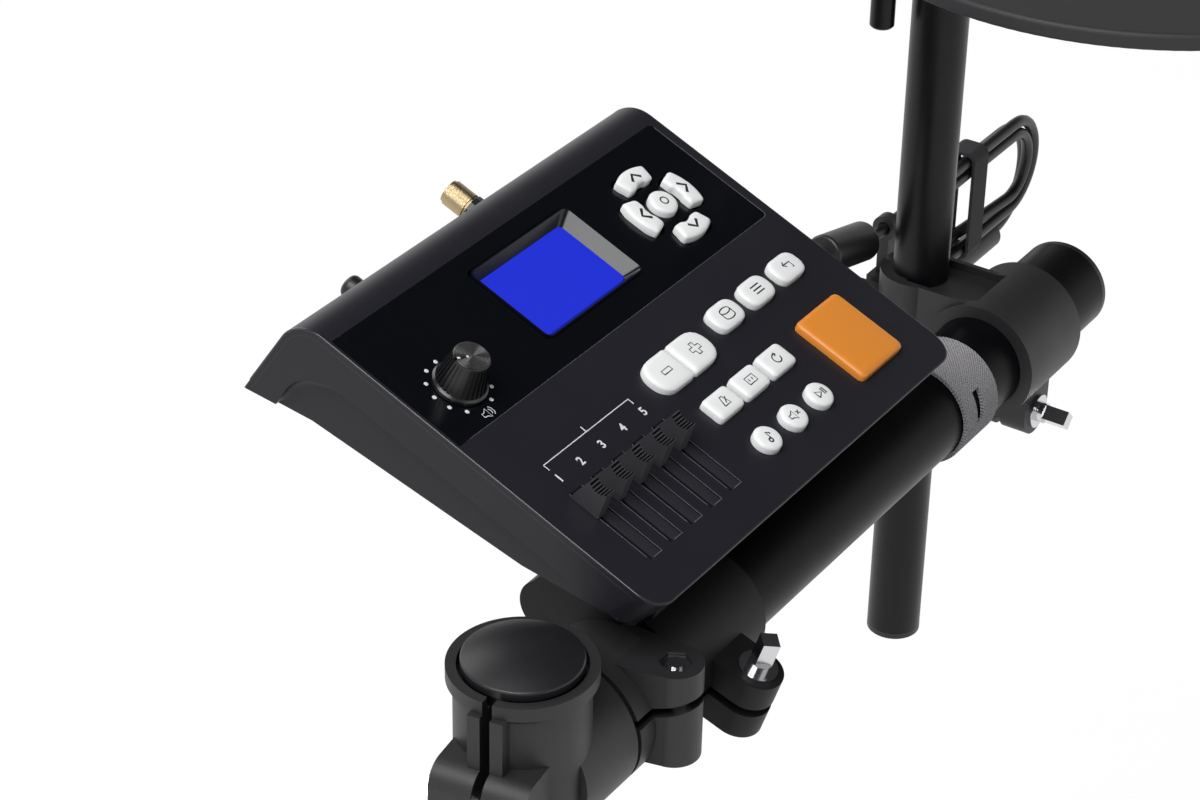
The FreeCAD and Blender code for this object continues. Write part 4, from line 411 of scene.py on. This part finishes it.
def ring(radius, start=0, end=360, middle=(0, 0), steps=24):
    """Points round a middle, from one bearing to another."""
    angles = [math.radians(start + (end - start) * index / steps) for index in range(steps + 1)]
    return [(middle[0] + radius * math.cos(a), middle[1] + radius * math.sin(a)) for a in angles]


def box_line(half_length, half_width):
    """Closed line round an upright box."""
    return [(x * half_length, y * half_width) for x, y in ((-1, -1), (1, -1), (1, 1), (-1, 1), (-1, -1))]


CHEVRON = [(-2.7, -1.4), (0, 1.4), (2.7, -1.4)]
CROSS_END, CROSS_HALF = 2.7, 0.9
CROSS_ARM = [(-CROSS_HALF, -CROSS_END), (CROSS_HALF, -CROSS_END), (CROSS_HALF, -CROSS_HALF)]
CROSS = (CROSS_ARM + [(-y, x) for x, y in CROSS_ARM] + [(-x, -y) for x, y in CROSS_ARM]
         + [(y, -x) for x, y in CROSS_ARM] + CROSS_ARM[:1])
SPEAKER = [(-2.4, -0.8), (-1.2, -0.8), (0.4, -2), (0.4, 2), (-1.2, 0.8), (-2.4, 0.8), (-2.4, -0.8)]
DRUM_HALF, DRUM_FLAT, DRUM_TOP, DRUM_FOOT = 2.8, 0.45, 1, -1.6
DRUM = ([[(x, y * DRUM_FLAT + DRUM_TOP) for x, y in ring(DRUM_HALF)]]
        + [[(x, DRUM_TOP), (x, DRUM_FOOT)] for x in (-DRUM_HALF, DRUM_HALF)]
        + [[(x, y * DRUM_FLAT + DRUM_FOOT) for x, y in ring(DRUM_HALF, 180, 360)]])
KEY_MARKS = {
    "button_up": (1.25, [CHEVRON]),
    "button_down": (1.25, [[(x, -y) for x, y in CHEVRON]]),
    "button_left": (1.25, [[(-y, x) for x, y in CHEVRON]]),
    "button_right": (1.25, [[(y, x) for x, y in CHEVRON]]),
    "button_ok": (0.6, [ring(1.6)]),
    "button_minus": (0.5, [box_line(2.4, 0.9)]),
    "button_plus": (0.5, [CROSS]),
    "button_kit": (0.5, DRUM),
    "button_list": (0.6, [[(-2.6, y), (2.6, y)] for y in (-1.6, 0, 1.6)]),
    "button_return": (0.6, [[(1.6, -1.8), (2.2, -1.8), (2.2, 0.8), (-1.8, 0.8)],
                            [(-0.6, 2), (-2, 0.8), (-0.6, -0.4)]]),
    "button_beat": (0.5, [[(-1.8, -1.8), (1.8, -1.8), (0.6, 2), (-0.6, 2), (-1.8, -1.8)], [(0, -1), (1.9, 1.4)]]),
    "button_practice": (0.5, [box_line(2.4, 1.6)] + [[(x, -0.6), (x, 0.6)] for x in (-1, 0.8)]),
    "button_repeat": (0.55, [ring(1.9, 60, 360), [(0.4, 2.5), (1.1, 1.6), (0.1, 1)]]),
    "button_song": (0.65, [ring(0.8, middle=(-0.7, -1.5)), [(0.1, -1.5), (0.1, 2), (1.4, 1.1), (1.4, 0.4)]]),
    "button_silence": (0.5, [[(x - 0.6, y) for x, y in SPEAKER]] + [[(0.8, -y), (2.4, y)] for y in (0.8, -0.8)]),
    "button_play": (0.6, [[(-2.2, -1.5), (-2.2, 1.5), (0.4, 0), (-2.2, -1.5)]]
                    + [[(x, -1.5), (x, 1.5)] for x in (1.2, 2.2)]),
}

# Keys: soft domed caps, one made for each outline and copied, each over its own key
EASE_STEPS, CLOSEST = 5, 0.05


def soften(corners, reaches):
    """Closed outline with every corner eased over its reach."""
    eased = []
    for index, (corner, reach) in enumerate(zip(corners, reaches)):
        corner = Vector(corner)
        ends = []
        for other in (corners[index - 1], corners[(index + 1) % len(corners)]):
            way = Vector(other) - corner
            ends.append(corner + way * min(0.5, reach / way.length))
        for step in range(EASE_STEPS + 1):
            s = step / EASE_STEPS
            eased.append(ends[0] * (1 - s) ** 2 + corner * 2 * s * (1 - s) + ends[1] * s ** 2)
    outline = [eased[0]]
    for point in eased[1:]:
        if min((point - outline[-1]).length, (point - eased[0]).length) > CLOSEST:
            outline.append(point)
    return outline


def block(length, width, left, right):
    """Upright box with its left and its right corners eased."""
    return soften(box_line(length / 2, width / 2)[:-1], (left, right, right, left))


def disc(radius):
    """Round outline."""
    return [Vector(point) for point in ring(radius, steps=40)[:-1]]


ARROW_HALF, ARROW_SHOULDER, ARROW_BOW = 8.7, 2.3, 2.2
ARROW_BITE = [(7.1, -4.2), (3.4, -4.2), (1.8, -3.2)]
BOW_REACHES, BITE_REACHES = (1.2, 1, 1, 1, 1, 1, 1.2), (1.2, 0.6, 0.8, 0.8, 0.6, 1.2)


def arrow_outline():
    """Bowed outer edge, slanting ends and a bite toward the middle key."""
    shares = [step / 3 for step in range(-3, 4)]
    bow = [(ARROW_HALF * share, ARROW_SHOULDER + ARROW_BOW * (1 - share ** 2)) for share in shares]
    bite = ARROW_BITE + [(-x, y) for x, y in reversed(ARROW_BITE)]
    return soften(bow + bite, BOW_REACHES + BITE_REACHES)


OUTLINES = {
    "arrow": arrow_outline(), "middle": disc(5.75), "half": block(17.3, 15, 7.5, 1.6), "row": block(16.2, 11.1, 5, 5),
    "square": block(14.9, 10.4, 2.2, 2.2), "round": disc(5.5), "trigger": block(28.3, 32, 2.6, 2.6),
}
NAV_ACROSS, NAV_BACK, NAV_SIDE, NAV_END = 161.5, 113.7, 13.2, 14.3
KEYS = {
    "button_up": (NAV_ACROSS, NAV_BACK + NAV_END, "arrow", 0),
    "button_down": (NAV_ACROSS, NAV_BACK - NAV_END, "arrow", 180),
    "button_left": (NAV_ACROSS - NAV_SIDE, NAV_BACK, "arrow", 90),
    "button_right": (NAV_ACROSS + NAV_SIDE, NAV_BACK, "arrow", -90),
    "button_ok": (NAV_ACROSS, NAV_BACK, "middle", 0),
    "button_minus": (89.85, 62, "half", 0),
    "button_plus": (108.15, 62, "half", 180),
}
KEY_ROWS = (
    ("row", 133.6, 20.8, 65.2, ("button_kit", "button_list", "button_return")),
    ("square", 96, 17.45, 40.5, ("button_beat", "button_practice", "button_repeat")),
    ("trigger", 166.75, 0, 30.1, ("button_trigger",)),
    ("round", 96, 17.45, 20.6, ("button_song", "button_silence", "button_play")),
)
for shape, first, pitch, back, names in KEY_ROWS:
    for place, name in enumerate(names):
        KEYS[name] = (first + pitch * place, back, shape, 0)
CAP_FOOT, CAP_EDGE, CAP_SMOOTH = -0.6, 1.9, 48
DOME = ((0.25, 0.45), (0.4, 0.4), (0.7, 0.28), (0.9, 0.12))
KEY_TOP = CAP_EDGE + sum(rise for width, rise in DOME)


def key_cap(outline):
    """Cap drawn round its outline, raised and domed in steps."""
    cap = start_point(*outline[0], CAP_FOOT)
    for here, there in zip(outline, outline[1:]):
        pull(*(there - here), 0)
    fill_outline()
    pull(0, 0, CAP_EDGE - CAP_FOOT)
    across, along = max(abs(point.x) for point in outline), max(abs(point.y) for point in outline)
    for width, rise in DOME:
        pull(0, 0, rise)
        narrower = ((across - width) / across, (along - width) / along, 1)
        bpy.ops.transform.resize(value=narrower, center_override=(0, 0, 0))
        across, along = across - width, along - width
    close_mesh()
    return cap


first_caps = {shape: key_cap(outline) for shape, outline in OUTLINES.items()}
caps = [copy_of(first_caps[shape]) for across, back, shape, turn in KEYS.values()]
for cap, (name, (across, back, shape, turn)) in zip(caps, KEYS.items()):
    cap.matrix_world = on_panel(across, back) @ Matrix.Rotation(math.radians(turn), 4, "Z")
    finish = "orange_key" if name == "button_trigger" else "white_key"
    settle(cap, "cap_" + name, finish, name)
    smooth(CAP_SMOOTH)
    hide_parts(name)
    if name in KEY_MARKS:
        thickness, lines = KEY_MARKS[name]
        panel_marks("mark_" + name, lines, thickness, (across, back), KEY_TOP, "ink", name)
for first_cap in first_caps.values():
    bpy.data.objects.remove(first_cap)

# Volume dial, fader bracket and fader numbers on the panel
DIAL_RADIUS, DIAL_START, DIAL_STEP, DIAL_DOTS = 11.8, -128, -30, 11
DOT_RADIUS, DOT_STROKE = 0.42, 0.86
SIGN_MIDDLE, SIGN_STROKE, SIGN_WAVES, WAVE_START = (21.7, 90), 0.35, (1.6, 2.6), (0.2, 0)
BRACKET_FIRST, BRACKET_PITCH, BRACKET_BACK, BRACKET_TICK, BRACKET_STROKE = 19.0, 12.65, 63.6, 2.6, 0.55
NUMBER_SIZE, NUMBER_BOLD, NUMBER_BACK, NUMBER_OUT = 4.8, 0.12, 56.7, 0.04
dots = []
for index in range(DIAL_DOTS):
    angle = math.radians(DIAL_START + DIAL_STEP * index)
    dots.append(ring(DOT_RADIUS, middle=(DIAL_RADIUS * math.cos(angle), DIAL_RADIUS * math.sin(angle)), steps=12))
panel_marks("dial_dots", dots, DOT_STROKE, KNOB, 0, "print", "module")
waves = [ring(radius, -45, 45, WAVE_START, 8) for radius in SIGN_WAVES]
panel_marks("dial_sign", [SPEAKER] + waves, SIGN_STROKE, SIGN_MIDDLE, 0, "print", "module")
span = BRACKET_PITCH * (FADERS - 1)
bracket = [[(0, -BRACKET_TICK), (0, 0), (span, 0), (span, -BRACKET_TICK)], [(span / 2, 0), (span / 2, BRACKET_TICK)]]
panel_marks("fader_bracket", bracket, BRACKET_STROKE, (BRACKET_FIRST, BRACKET_BACK), 0, "print", "module")
for index in range(FADERS):
    bpy.ops.object.text_add()
    number = bpy.context.object
    number.data.body = str(index + 1)
    number.data.align_x = "CENTER"
    number.data.align_y = "CENTER"
    number.data.size = NUMBER_SIZE / 1000
    number.data.offset = NUMBER_BOLD / 1000
    bpy.ops.object.convert(target="MESH")
    number = bpy.context.object
    number.matrix_world = on_panel(BRACKET_FIRST + BRACKET_PITCH * index, NUMBER_BACK, NUMBER_OUT)
    settle(number, "fader_number_%d" % (index + 1), "print", "module")

# Fader slots: a painted highlight line each side of the slit and its sunk band, and a raised floor in the band
SLIT_FIRST, SLIT_PITCH, SLIT_FRONT, SLIT_BACK = 17.2, 12.4, 15.6, 50.2
RIM_NEAR, RIM_FAR, RIM_STEP, RIM_STROKE = 1, 5.9, 1.5, 0.26
BAND_SHIFT, BAND_WIDTH, BAND_SHORT, BAND_THICK, BAND_OUT, BAND_EASE = 3.4, 4.6, 0.2, 0.3, -0.64, 0.1
rim_highlights = [[(-RIM_NEAR, SLIT_FRONT + RIM_STEP), (-RIM_NEAR, SLIT_BACK)], [(RIM_FAR, SLIT_FRONT), (RIM_FAR, SLIT_BACK)],
        [(RIM_NEAR, SLIT_FRONT), (RIM_FAR, SLIT_FRONT)]]
first_band = slab(BAND_WIDTH, SLIT_BACK - SLIT_FRONT - BAND_SHORT, BAND_THICK, BAND_EASE)
for index in range(FADERS):
    across = SLIT_FIRST + SLIT_PITCH * index
    # Pale strokes along the slot's edges: painted highlights
    panel_marks("fader_rim_highlight_%d" % (index + 1), rim_highlights, RIM_STROKE, (across, 0), 0, "edge_glint", "module")
    band = copy_of(first_band)
    band.matrix_world = on_panel(across + BAND_SHIFT, (SLIT_FRONT + SLIT_BACK) / 2, BAND_OUT)
    settle(band, "fader_band_%d" % (index + 1), "fader_band", "module")
bpy.data.objects.remove(first_band)

# Fader caps: near-black strokes of painted shade between the finger ribs, made for one cap and copied
RIBS, RIB_FIRST, RIB_SPAN, RIB_HALF, RIB_STROKE = 6, 38.3, 7.4, 2.15, 0.75
RIB_TOP, RIB_DIP, RIB_SINK = 11.5, 1.7, 0.4
shade_strokes = []
for index in range(RIBS):
    share = (2 * index + 1) / (2 * RIBS)
    level = RIB_TOP - RIB_DIP * 4 * share * (1 - share) - RIB_SINK
    shade_strokes.append([mm(side * RIB_HALF, RIB_FIRST + RIB_SPAN * share, level) for side in (-1, 1)])
# Dark strokes sunk between the ribs: painted shade in the grooves
first_shade_strokes = curve_mesh(shade_strokes, RIB_STROKE)
rib_shade_strokes = [first_shade_strokes] + [copy_of(first_shade_strokes) for _ in range(FADERS - 1)]
for index, piece in enumerate(rib_shade_strokes):
    piece.matrix_world = on_panel(SLIT_FIRST + SLIT_PITCH * index, 0)
    settle(piece, "fader_rib_shade_%d" % (index + 1), "rib_shade", "fader_cap_%d" % (index + 1))

# Display: a shallow frame whose walls slope down to the lit face
FRAME_MIDDLE, FRAME_LENGTH, FRAME_WIDTH, FRAME_ROUND, FRAME_LIP = (97.9, 116.5), 59.4, 37.6, 3, 0.6
FRAME_FOOT, FRAME_TOP, FRAME_SMOOTH = -6.5, 0.8, 25
FACE_DROP, FACE_SHARE, FACE_SHIFT, FACE_THICK = 4.3, (0.88, 0.855, 1), (-1.5, -0.2, 0), 0.2
bpy.ops.object.select_all(action="DESELECT")
bpy.ops.mesh.primitive_plane_add(size=1)
display_frame = bpy.context.object
display_frame.scale = (FRAME_LENGTH / 1000, FRAME_WIDTH / 1000, 1)
bpy.ops.object.transform_apply(location=False, rotation=False, scale=True)
bpy.ops.object.mode_set(mode="EDIT")
bpy.ops.mesh.select_all(action="SELECT")
bpy.ops.mesh.bevel(offset=FRAME_ROUND / 1000, segments=6, affect="VERTICES")
bpy.ops.mesh.select_all(action="SELECT")
pull(0, 0, FRAME_TOP - FRAME_FOOT)
bpy.ops.mesh.inset(thickness=FRAME_LIP / 1000)
pull(0, 0, -FACE_DROP)
bpy.ops.transform.resize(value=FACE_SHARE, center_override=(0, 0, 0))
bpy.ops.transform.translate(value=mm(*FACE_SHIFT))
bpy.ops.mesh.duplicate()
bpy.ops.mesh.separate(type="SELECTED")
close_mesh()
display_face = [piece for piece in bpy.context.selected_objects if piece != display_frame][0]
work(display_face, "SOLIDIFY", thickness=FACE_THICK / 1000, offset=1)
for piece, name, finish, slot in ((display_frame, "display_frame", "bezel_gloss", "gloss_black"),
                                  (display_face, "display_face", "display_blue", "display_blue")):
    piece.matrix_world = on_panel(*FRAME_MIDDLE, FRAME_FOOT)
    settle(piece, name, finish, "module")
    smooth(FRAME_SMOOTH)
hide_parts("lcd_bezel")

# Pointer notch on the knob, dark with pale ends
POINTER = math.radians(156)
POINTER_STROKES = (("knob_pointer", 1.6, 6.0, 0.9, 14.6, "print"), ("knob_notch", 2.5, 4.9, 1.0, 14.64, "ink"))
bearing = Vector((math.cos(POINTER), math.sin(POINTER)))
for name, near, far, width, rise, finish in POINTER_STROKES:
    panel_marks(name, [[bearing * near, bearing * far]], width, KNOB, rise, finish, "volume_knob")

# Inlay: a thin painted highlight down the right edge and along the front edge, and a gloss margin on the left
INLAY_LEFT, INLAY_RIGHT, INLAY_FRONT, INLAY_BACK, INLAY_ROUND = 4.9, 195.1, 86.5, 143.1, 2.0
SIDE_STROKE, FRONT_STROKE = 0.3, 0.14
MARGIN_LEFT, MARGIN_RIGHT, MARGIN_THICK = 1.3, INLAY_LEFT + 0.6, 0.08
corner = (INLAY_RIGHT - INLAY_ROUND, INLAY_FRONT + INLAY_ROUND)
right_side = [(INLAY_RIGHT, INLAY_BACK - INLAY_ROUND)] + ring(INLAY_ROUND, 0, -90, corner, 8)
# Pale strokes on the inlay's edges: painted highlights
panel_marks("inlay_side_highlight", [right_side], SIDE_STROKE, (0, 0), 0, "edge_glint", "module")
front_side = [(INLAY_RIGHT - INLAY_ROUND, INLAY_FRONT), (INLAY_LEFT + INLAY_ROUND, INLAY_FRONT)]
panel_marks("inlay_front_highlight", [front_side], FRONT_STROKE, (0, 0), 0, "edge_glint", "module")
margin = slab(MARGIN_RIGHT - MARGIN_LEFT, INLAY_BACK - INLAY_FRONT, MARGIN_THICK, MARGIN_THICK / 4)
margin.matrix_world = on_panel((MARGIN_LEFT + MARGIN_RIGHT) / 2, (INLAY_BACK + INLAY_FRONT) / 2)
settle(margin, "inlay_left_margin", "gloss_black", "module")

# Cheeks: a hollow moulding under the border, round the back and down to the base, with a bead and a seam above it
COVE_ROUND, COVE_TOP, COVE_FRONT, COVE_BACK, COVE_STEPS, COVE_SMOOTH = 4, -15, 11.5, 131.75, 8, 35
UPPER_TURN, UPPER_STEPS, UPPER_LEVEL, UPPER_RUN = math.radians(29.7), 6, -31, (0, 3.66, -2.09)
REAR_TURN, REAR_STEPS, REAR_CENTRE, REAR_RUN = math.radians(51.1), 10, (135.4, -33.09), (0, 1.1, -6.8)
left_cove = start_point(0, COVE_FRONT, COVE_TOP)
pull_round("Y", -math.pi / 2, COVE_STEPS, COVE_FRONT, COVE_TOP - COVE_ROUND)
pull(0, 0, COVE_ROUND)
fill_outline()
pull(0, COVE_BACK - COVE_FRONT, 0)
pull_round("X", UPPER_TURN, UPPER_STEPS, COVE_BACK, UPPER_LEVEL)
pull(*UPPER_RUN)
pull_round("X", REAR_TURN, REAR_STEPS, *REAR_CENTRE)
pull(*REAR_RUN)
close_mesh()
right_cove = copy_of(left_cove)
right_cove.scale = (-1, 1, 1)
right_cove.location = mm(PANEL_WIDTH, 0, 0)
bpy.ops.object.transform_apply(location=True, rotation=True, scale=True)
bpy.ops.object.mode_set(mode="EDIT")
close_mesh()
EDGE_FRONT, EDGE_BACK, EDGE_ROUND, EDGE_STEPS, EDGE_END = 9.5, 145.93, 14.5, 13, 12
BASE_LEVEL, BASE_LEAN = -37.6, 0.2
BEAD, BEAD_SMOOTH, LID, SEAM_STROKE = 0.42, 50, 2.6, 0.4


def cheek_line(inset, across):
    """Line on a cheek at one inset from its upper edge, from the front round to the base behind."""
    bend = ring(EDGE_ROUND - inset, 90, EDGE_END, (EDGE_BACK, -EDGE_ROUND), EDGE_STEPS)
    back, level = bend[-1]
    line = [(EDGE_FRONT, -inset)] + bend + [(back + (level - BASE_LEVEL) * BASE_LEAN, BASE_LEVEL)]
    return [mm(across, back, level) for back, level in line]


for piece, name, across, inward in ((left_cove, "left_cheek", 0, 1), (right_cove, "right_cheek", PANEL_WIDTH, -1)):
    piece.matrix_world = PANEL_MATRIX
    settle(piece, name + "_cove", "casing", "module")
    smooth(COVE_SMOOTH)
    bead = curve_mesh([cheek_line(BEAD, inward * BEAD)], BEAD * 2, rings=4)
    bead.matrix_world = on_panel(across, 0)
    settle(bead, name + "_bead", "polished_edge", "module")
    smooth(BEAD_SMOOTH)
    seam = curve_mesh([cheek_line(LID, 0)], SEAM_STROKE)
    seam.matrix_world = on_panel(across, 0) @ Matrix.Diagonal((STROKE_FLAT, 1, 1, 1))
    settle(seam, name + "_seam", "ink", "module")

# Screws under the casing: one made, three copied
SCREW_RADIUS, SCREW_LENGTH, SCREW_EASE = 2.9, 2.4, 0.7
CROSS_SLOT = (3.4, 0.8, 1.6)
SCREW_PLACES = [(across, back) for across in (18, 182) for back in (74, 130)]
BASE_FRONT, BASE_TOP, BASE_FALL, BASE_SLOPE = 49.9, -27.7, 10.3 / 89.6, math.radians(173.45)
bpy.ops.object.select_all(action="DESELECT")
bpy.ops.mesh.primitive_cylinder_add(vertices=32, radius=SCREW_RADIUS / 1000, depth=SCREW_LENGTH / 1000)
screw = bpy.context.object
work(screw, "BEVEL", width=SCREW_EASE / 1000, segments=3)
for turn in (0, math.pi / 2):
    bpy.ops.mesh.primitive_cube_add(size=1, location=mm(0, 0, SCREW_LENGTH / 2), rotation=(0, 0, turn),
                                    scale=mm(*CROSS_SLOT))
    cutter = bpy.context.object
    work(screw, "BOOLEAN", operation="DIFFERENCE", object=cutter)
    bpy.data.objects.remove(cutter)
screws = [screw] + [copy_of(screw) for _ in SCREW_PLACES[1:]]
for index, (across, back) in enumerate(SCREW_PLACES):
    level = BASE_TOP - (back - BASE_FRONT) * BASE_FALL
    screws[index].matrix_world = on_panel(across, back, level) @ Matrix.Rotation(BASE_SLOPE, 4, "X")
    settle(screws[index], "base_screw_%d" % (index + 1), "black_steel", "module")

# Lead: straight runs joined by tangent arcs to the choke, then flat loops two deep with the tail below them
ARC_STEPS, FOLD_STEPS, POINT_GAP, LEAD_SMOOTH = 6, 18, 6, 50


def rounded_route(points, trim):
    """Route points with each inner corner replaced by points of its tangent arc."""
    route = [points[0]]
    for before, corner, after in zip(points, points[1:], points[2:]):
        inward = (before - corner).normalized()
        onward = (after - corner).normalized()
        half_turn = (math.pi - inward.angle(onward)) / 2
        radius = trim / math.tan(half_turn)
        centre = corner + (inward + onward).normalized() * math.hypot(radius, trim)
        first, last = corner + inward * trim - centre, corner + onward * trim - centre
        for step in range(ARC_STEPS + 1):
            spoke = first.slerp(last, step / ARC_STEPS)
            route.append(centre + spoke * radius / spoke.length)
    return route + [points[-1]]


CORD, PITCH, FOLD = 5.0, 5.6, 15.0
LEAD_BACK, LEAD_HEIGHT, LEAD_TRIM = 56.5, 222.0, 8
HANK_LEFT, HANK_RIGHT, TAIL_DROP = 372.0, 447.0, 11.4
PLUG_ACROSS, PLUG_BACK, PLUG_OUT, PLUG_RUN = 195, 93, -40.7, 17
CHOKE_IN = Vector((278, LEAD_BACK + 1.5, LEAD_HEIGHT + 11))
CHOKE_OUT = Vector((326, LEAD_BACK, LEAD_HEIGHT))
begin = PANEL + Vector((PLUG_ACROSS, 0, 0)) + V_AXIS * PLUG_BACK + N_AXIS * PLUG_OUT
route = rounded_route([begin, begin + Vector((PLUG_RUN, 0, 0)), CHOKE_IN, CHOKE_OUT,
                       Vector((HANK_RIGHT, LEAD_BACK, LEAD_HEIGHT))], LEAD_TRIM)
OUTER = FOLD + PITCH
MIDDLE = LEAD_HEIGHT - OUTER
heights = [OUTER, -OUTER, FOLD, -FOLD, FOLD, -OUTER - TAIL_DROP]
depths = [LEAD_BACK] * 4 + [LEAD_BACK + PITCH] * 3
for index in range(1, len(heights)):
    side, edge, end = (1, HANK_RIGHT, HANK_LEFT) if index % 2 else (-1, HANK_LEFT, HANK_RIGHT)
    here, there = heights[index - 1] + MIDDLE, heights[index] + MIDDLE
    radius = (there - here) / 2
    for step in range(1, FOLD_STEPS + 1):
        turn = math.pi * step / FOLD_STEPS
        route.append(Vector((edge + side * abs(radius) * math.sin(turn), depths[index],
                             (here + there) / 2 - radius * math.cos(turn))))
    if index < len(heights) - 1:
        route.append(Vector(((edge + end) / 2, (depths[index] + depths[index + 1]) / 2, there)))
        route.append(Vector((end, depths[index + 1], there)))
route.append(Vector((HANK_RIGHT - CORD, LEAD_BACK + PITCH, heights[-1] + MIDDLE)))
even = [route[0]]
for point in route[1:]:
    last = even[-1]
    gap = (point - last).length
    if gap > 0.01:
        pieces = max(1, round(gap / POINT_GAP))
        even += [last.lerp(point, (step + 1) / pieces) for step in range(pieces)]
centreline = [point / 1000 for point in even]
lead = curve_mesh([centreline], CORD, kind="NURBS", rings=4)
settle(lead, "lead_cord", "black_cord", None)
smooth(LEAD_SMOOTH)
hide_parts("lead", "lead_hank")
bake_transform(lead)


# Stage: white floor and backdrop, dark overhead, soft lights
def seen_directly(tree):
    """Masks of what the camera sees, straight and mirrored."""
    path = add_node(tree, "ShaderNodeLightPath")
    mirrored = add_node(tree, "ShaderNodeMath", operation="MAXIMUM")
    tree.links.new(path.outputs["Is Glossy Ray"], mirrored.inputs[0])
    tree.links.new(path.outputs["Is Transmission Ray"], mirrored.inputs[1])
    return path.outputs["Is Camera Ray"], mirrored.outputs[0]


FLOOR_SIZE, FLOOR_LEVEL = 40, -0.25
FLOOR_SHADE, FLOOR_ROUGH, FLOOR_GLOW, GLOW_SHARE = 0.65, 0.9, 1.1, 0.85
bpy.ops.mesh.primitive_plane_add(size=FLOOR_SIZE, location=(0, 0, FLOOR_LEVEL))
floor = bpy.context.object
floor.name = "floor"
floor_material = bpy.data.materials.new("floor")
floor_material.use_nodes = True
tree = floor_material.node_tree
direct, mirrored = seen_directly(tree)
either = add_node(tree, "ShaderNodeMath", operation="MAXIMUM")
tree.links.new(direct, either.inputs[0])
tree.links.new(mirrored, either.inputs[1])
part_lit = add_node(tree, "ShaderNodeMath", operation="MULTIPLY")
part_lit.inputs[1].default_value = GLOW_SHARE
tree.links.new(either.outputs[0], part_lit.inputs[0])
white = add_node(tree, "ShaderNodeEmission", Strength=FLOOR_GLOW)
paper = tree.nodes["Principled BSDF"]
paper.inputs["Base Color"].default_value = (FLOOR_SHADE, FLOOR_SHADE, FLOOR_SHADE, 1)
paper.inputs["Roughness"].default_value = FLOOR_ROUGH
mixer = add_node(tree, "ShaderNodeMixShader")
tree.links.new(part_lit.outputs[0], mixer.inputs[0])
tree.links.new(paper.outputs[0], mixer.inputs[1])
tree.links.new(white.outputs[0], mixer.inputs[2])
tree.links.new(mixer.outputs[0], tree.nodes["Material Output"].inputs["Surface"])
floor.data.materials.append(floor_material)

BACKDROP_TOP, DARK_FROM, OVERHEAD, ROOM = 0.16, 0.5, 0.03, 0.13
world = bpy.data.worlds.new("studio")
scene.world = world
world.use_nodes = True
tree = world.node_tree
direct, mirrored = seen_directly(tree)
coords = add_node(tree, "ShaderNodeTexCoord")
axes = add_node(tree, "ShaderNodeSeparateXYZ")
tree.links.new(coords.outputs["Generated"], axes.inputs[0])
backdrop = add_node(tree, "ShaderNodeMapRange", From_Min=BACKDROP_TOP, From_Max=DARK_FROM, To_Min=1, To_Max=OVERHEAD)
tree.links.new(axes.outputs[2], backdrop.inputs["Value"])
indirect = add_node(tree, "ShaderNodeMix", A=ROOM)
tree.links.new(mirrored, indirect.inputs["Factor"])
tree.links.new(backdrop.outputs[0], indirect.inputs["B"])
brightness = add_node(tree, "ShaderNodeMix", B=1)
tree.links.new(direct, brightness.inputs["Factor"])
tree.links.new(indirect.outputs[0], brightness.inputs["A"])
room = tree.nodes["Background"]
room.inputs["Color"].default_value = (1, 1, 1, 1)
tree.links.new(brightness.outputs[0], room.inputs["Strength"])

# Lights: place in metres, size and watts, all aimed at the middle of the part
AIM = Vector((0.14, 0.05, 0.25))
LIGHTS = {"key": ((-1.0, 0.0, 2.0), 1.5, 56), "front": ((0.3, -1.9, 0.9), 1.4, 4), "back": ((0.5, 1.7, 1.2), 1.2, 14)}
for name, (place, size, power) in LIGHTS.items():
    bpy.ops.object.light_add(type="AREA", location=place)
    light = bpy.context.object
    light.name = name
    light.data.shape = "SQUARE"
    light.data.size = size
    light.data.energy = power
    light.rotation_euler = (AIM - Vector(place)).to_track_quat("-Z", "Y").to_euler()
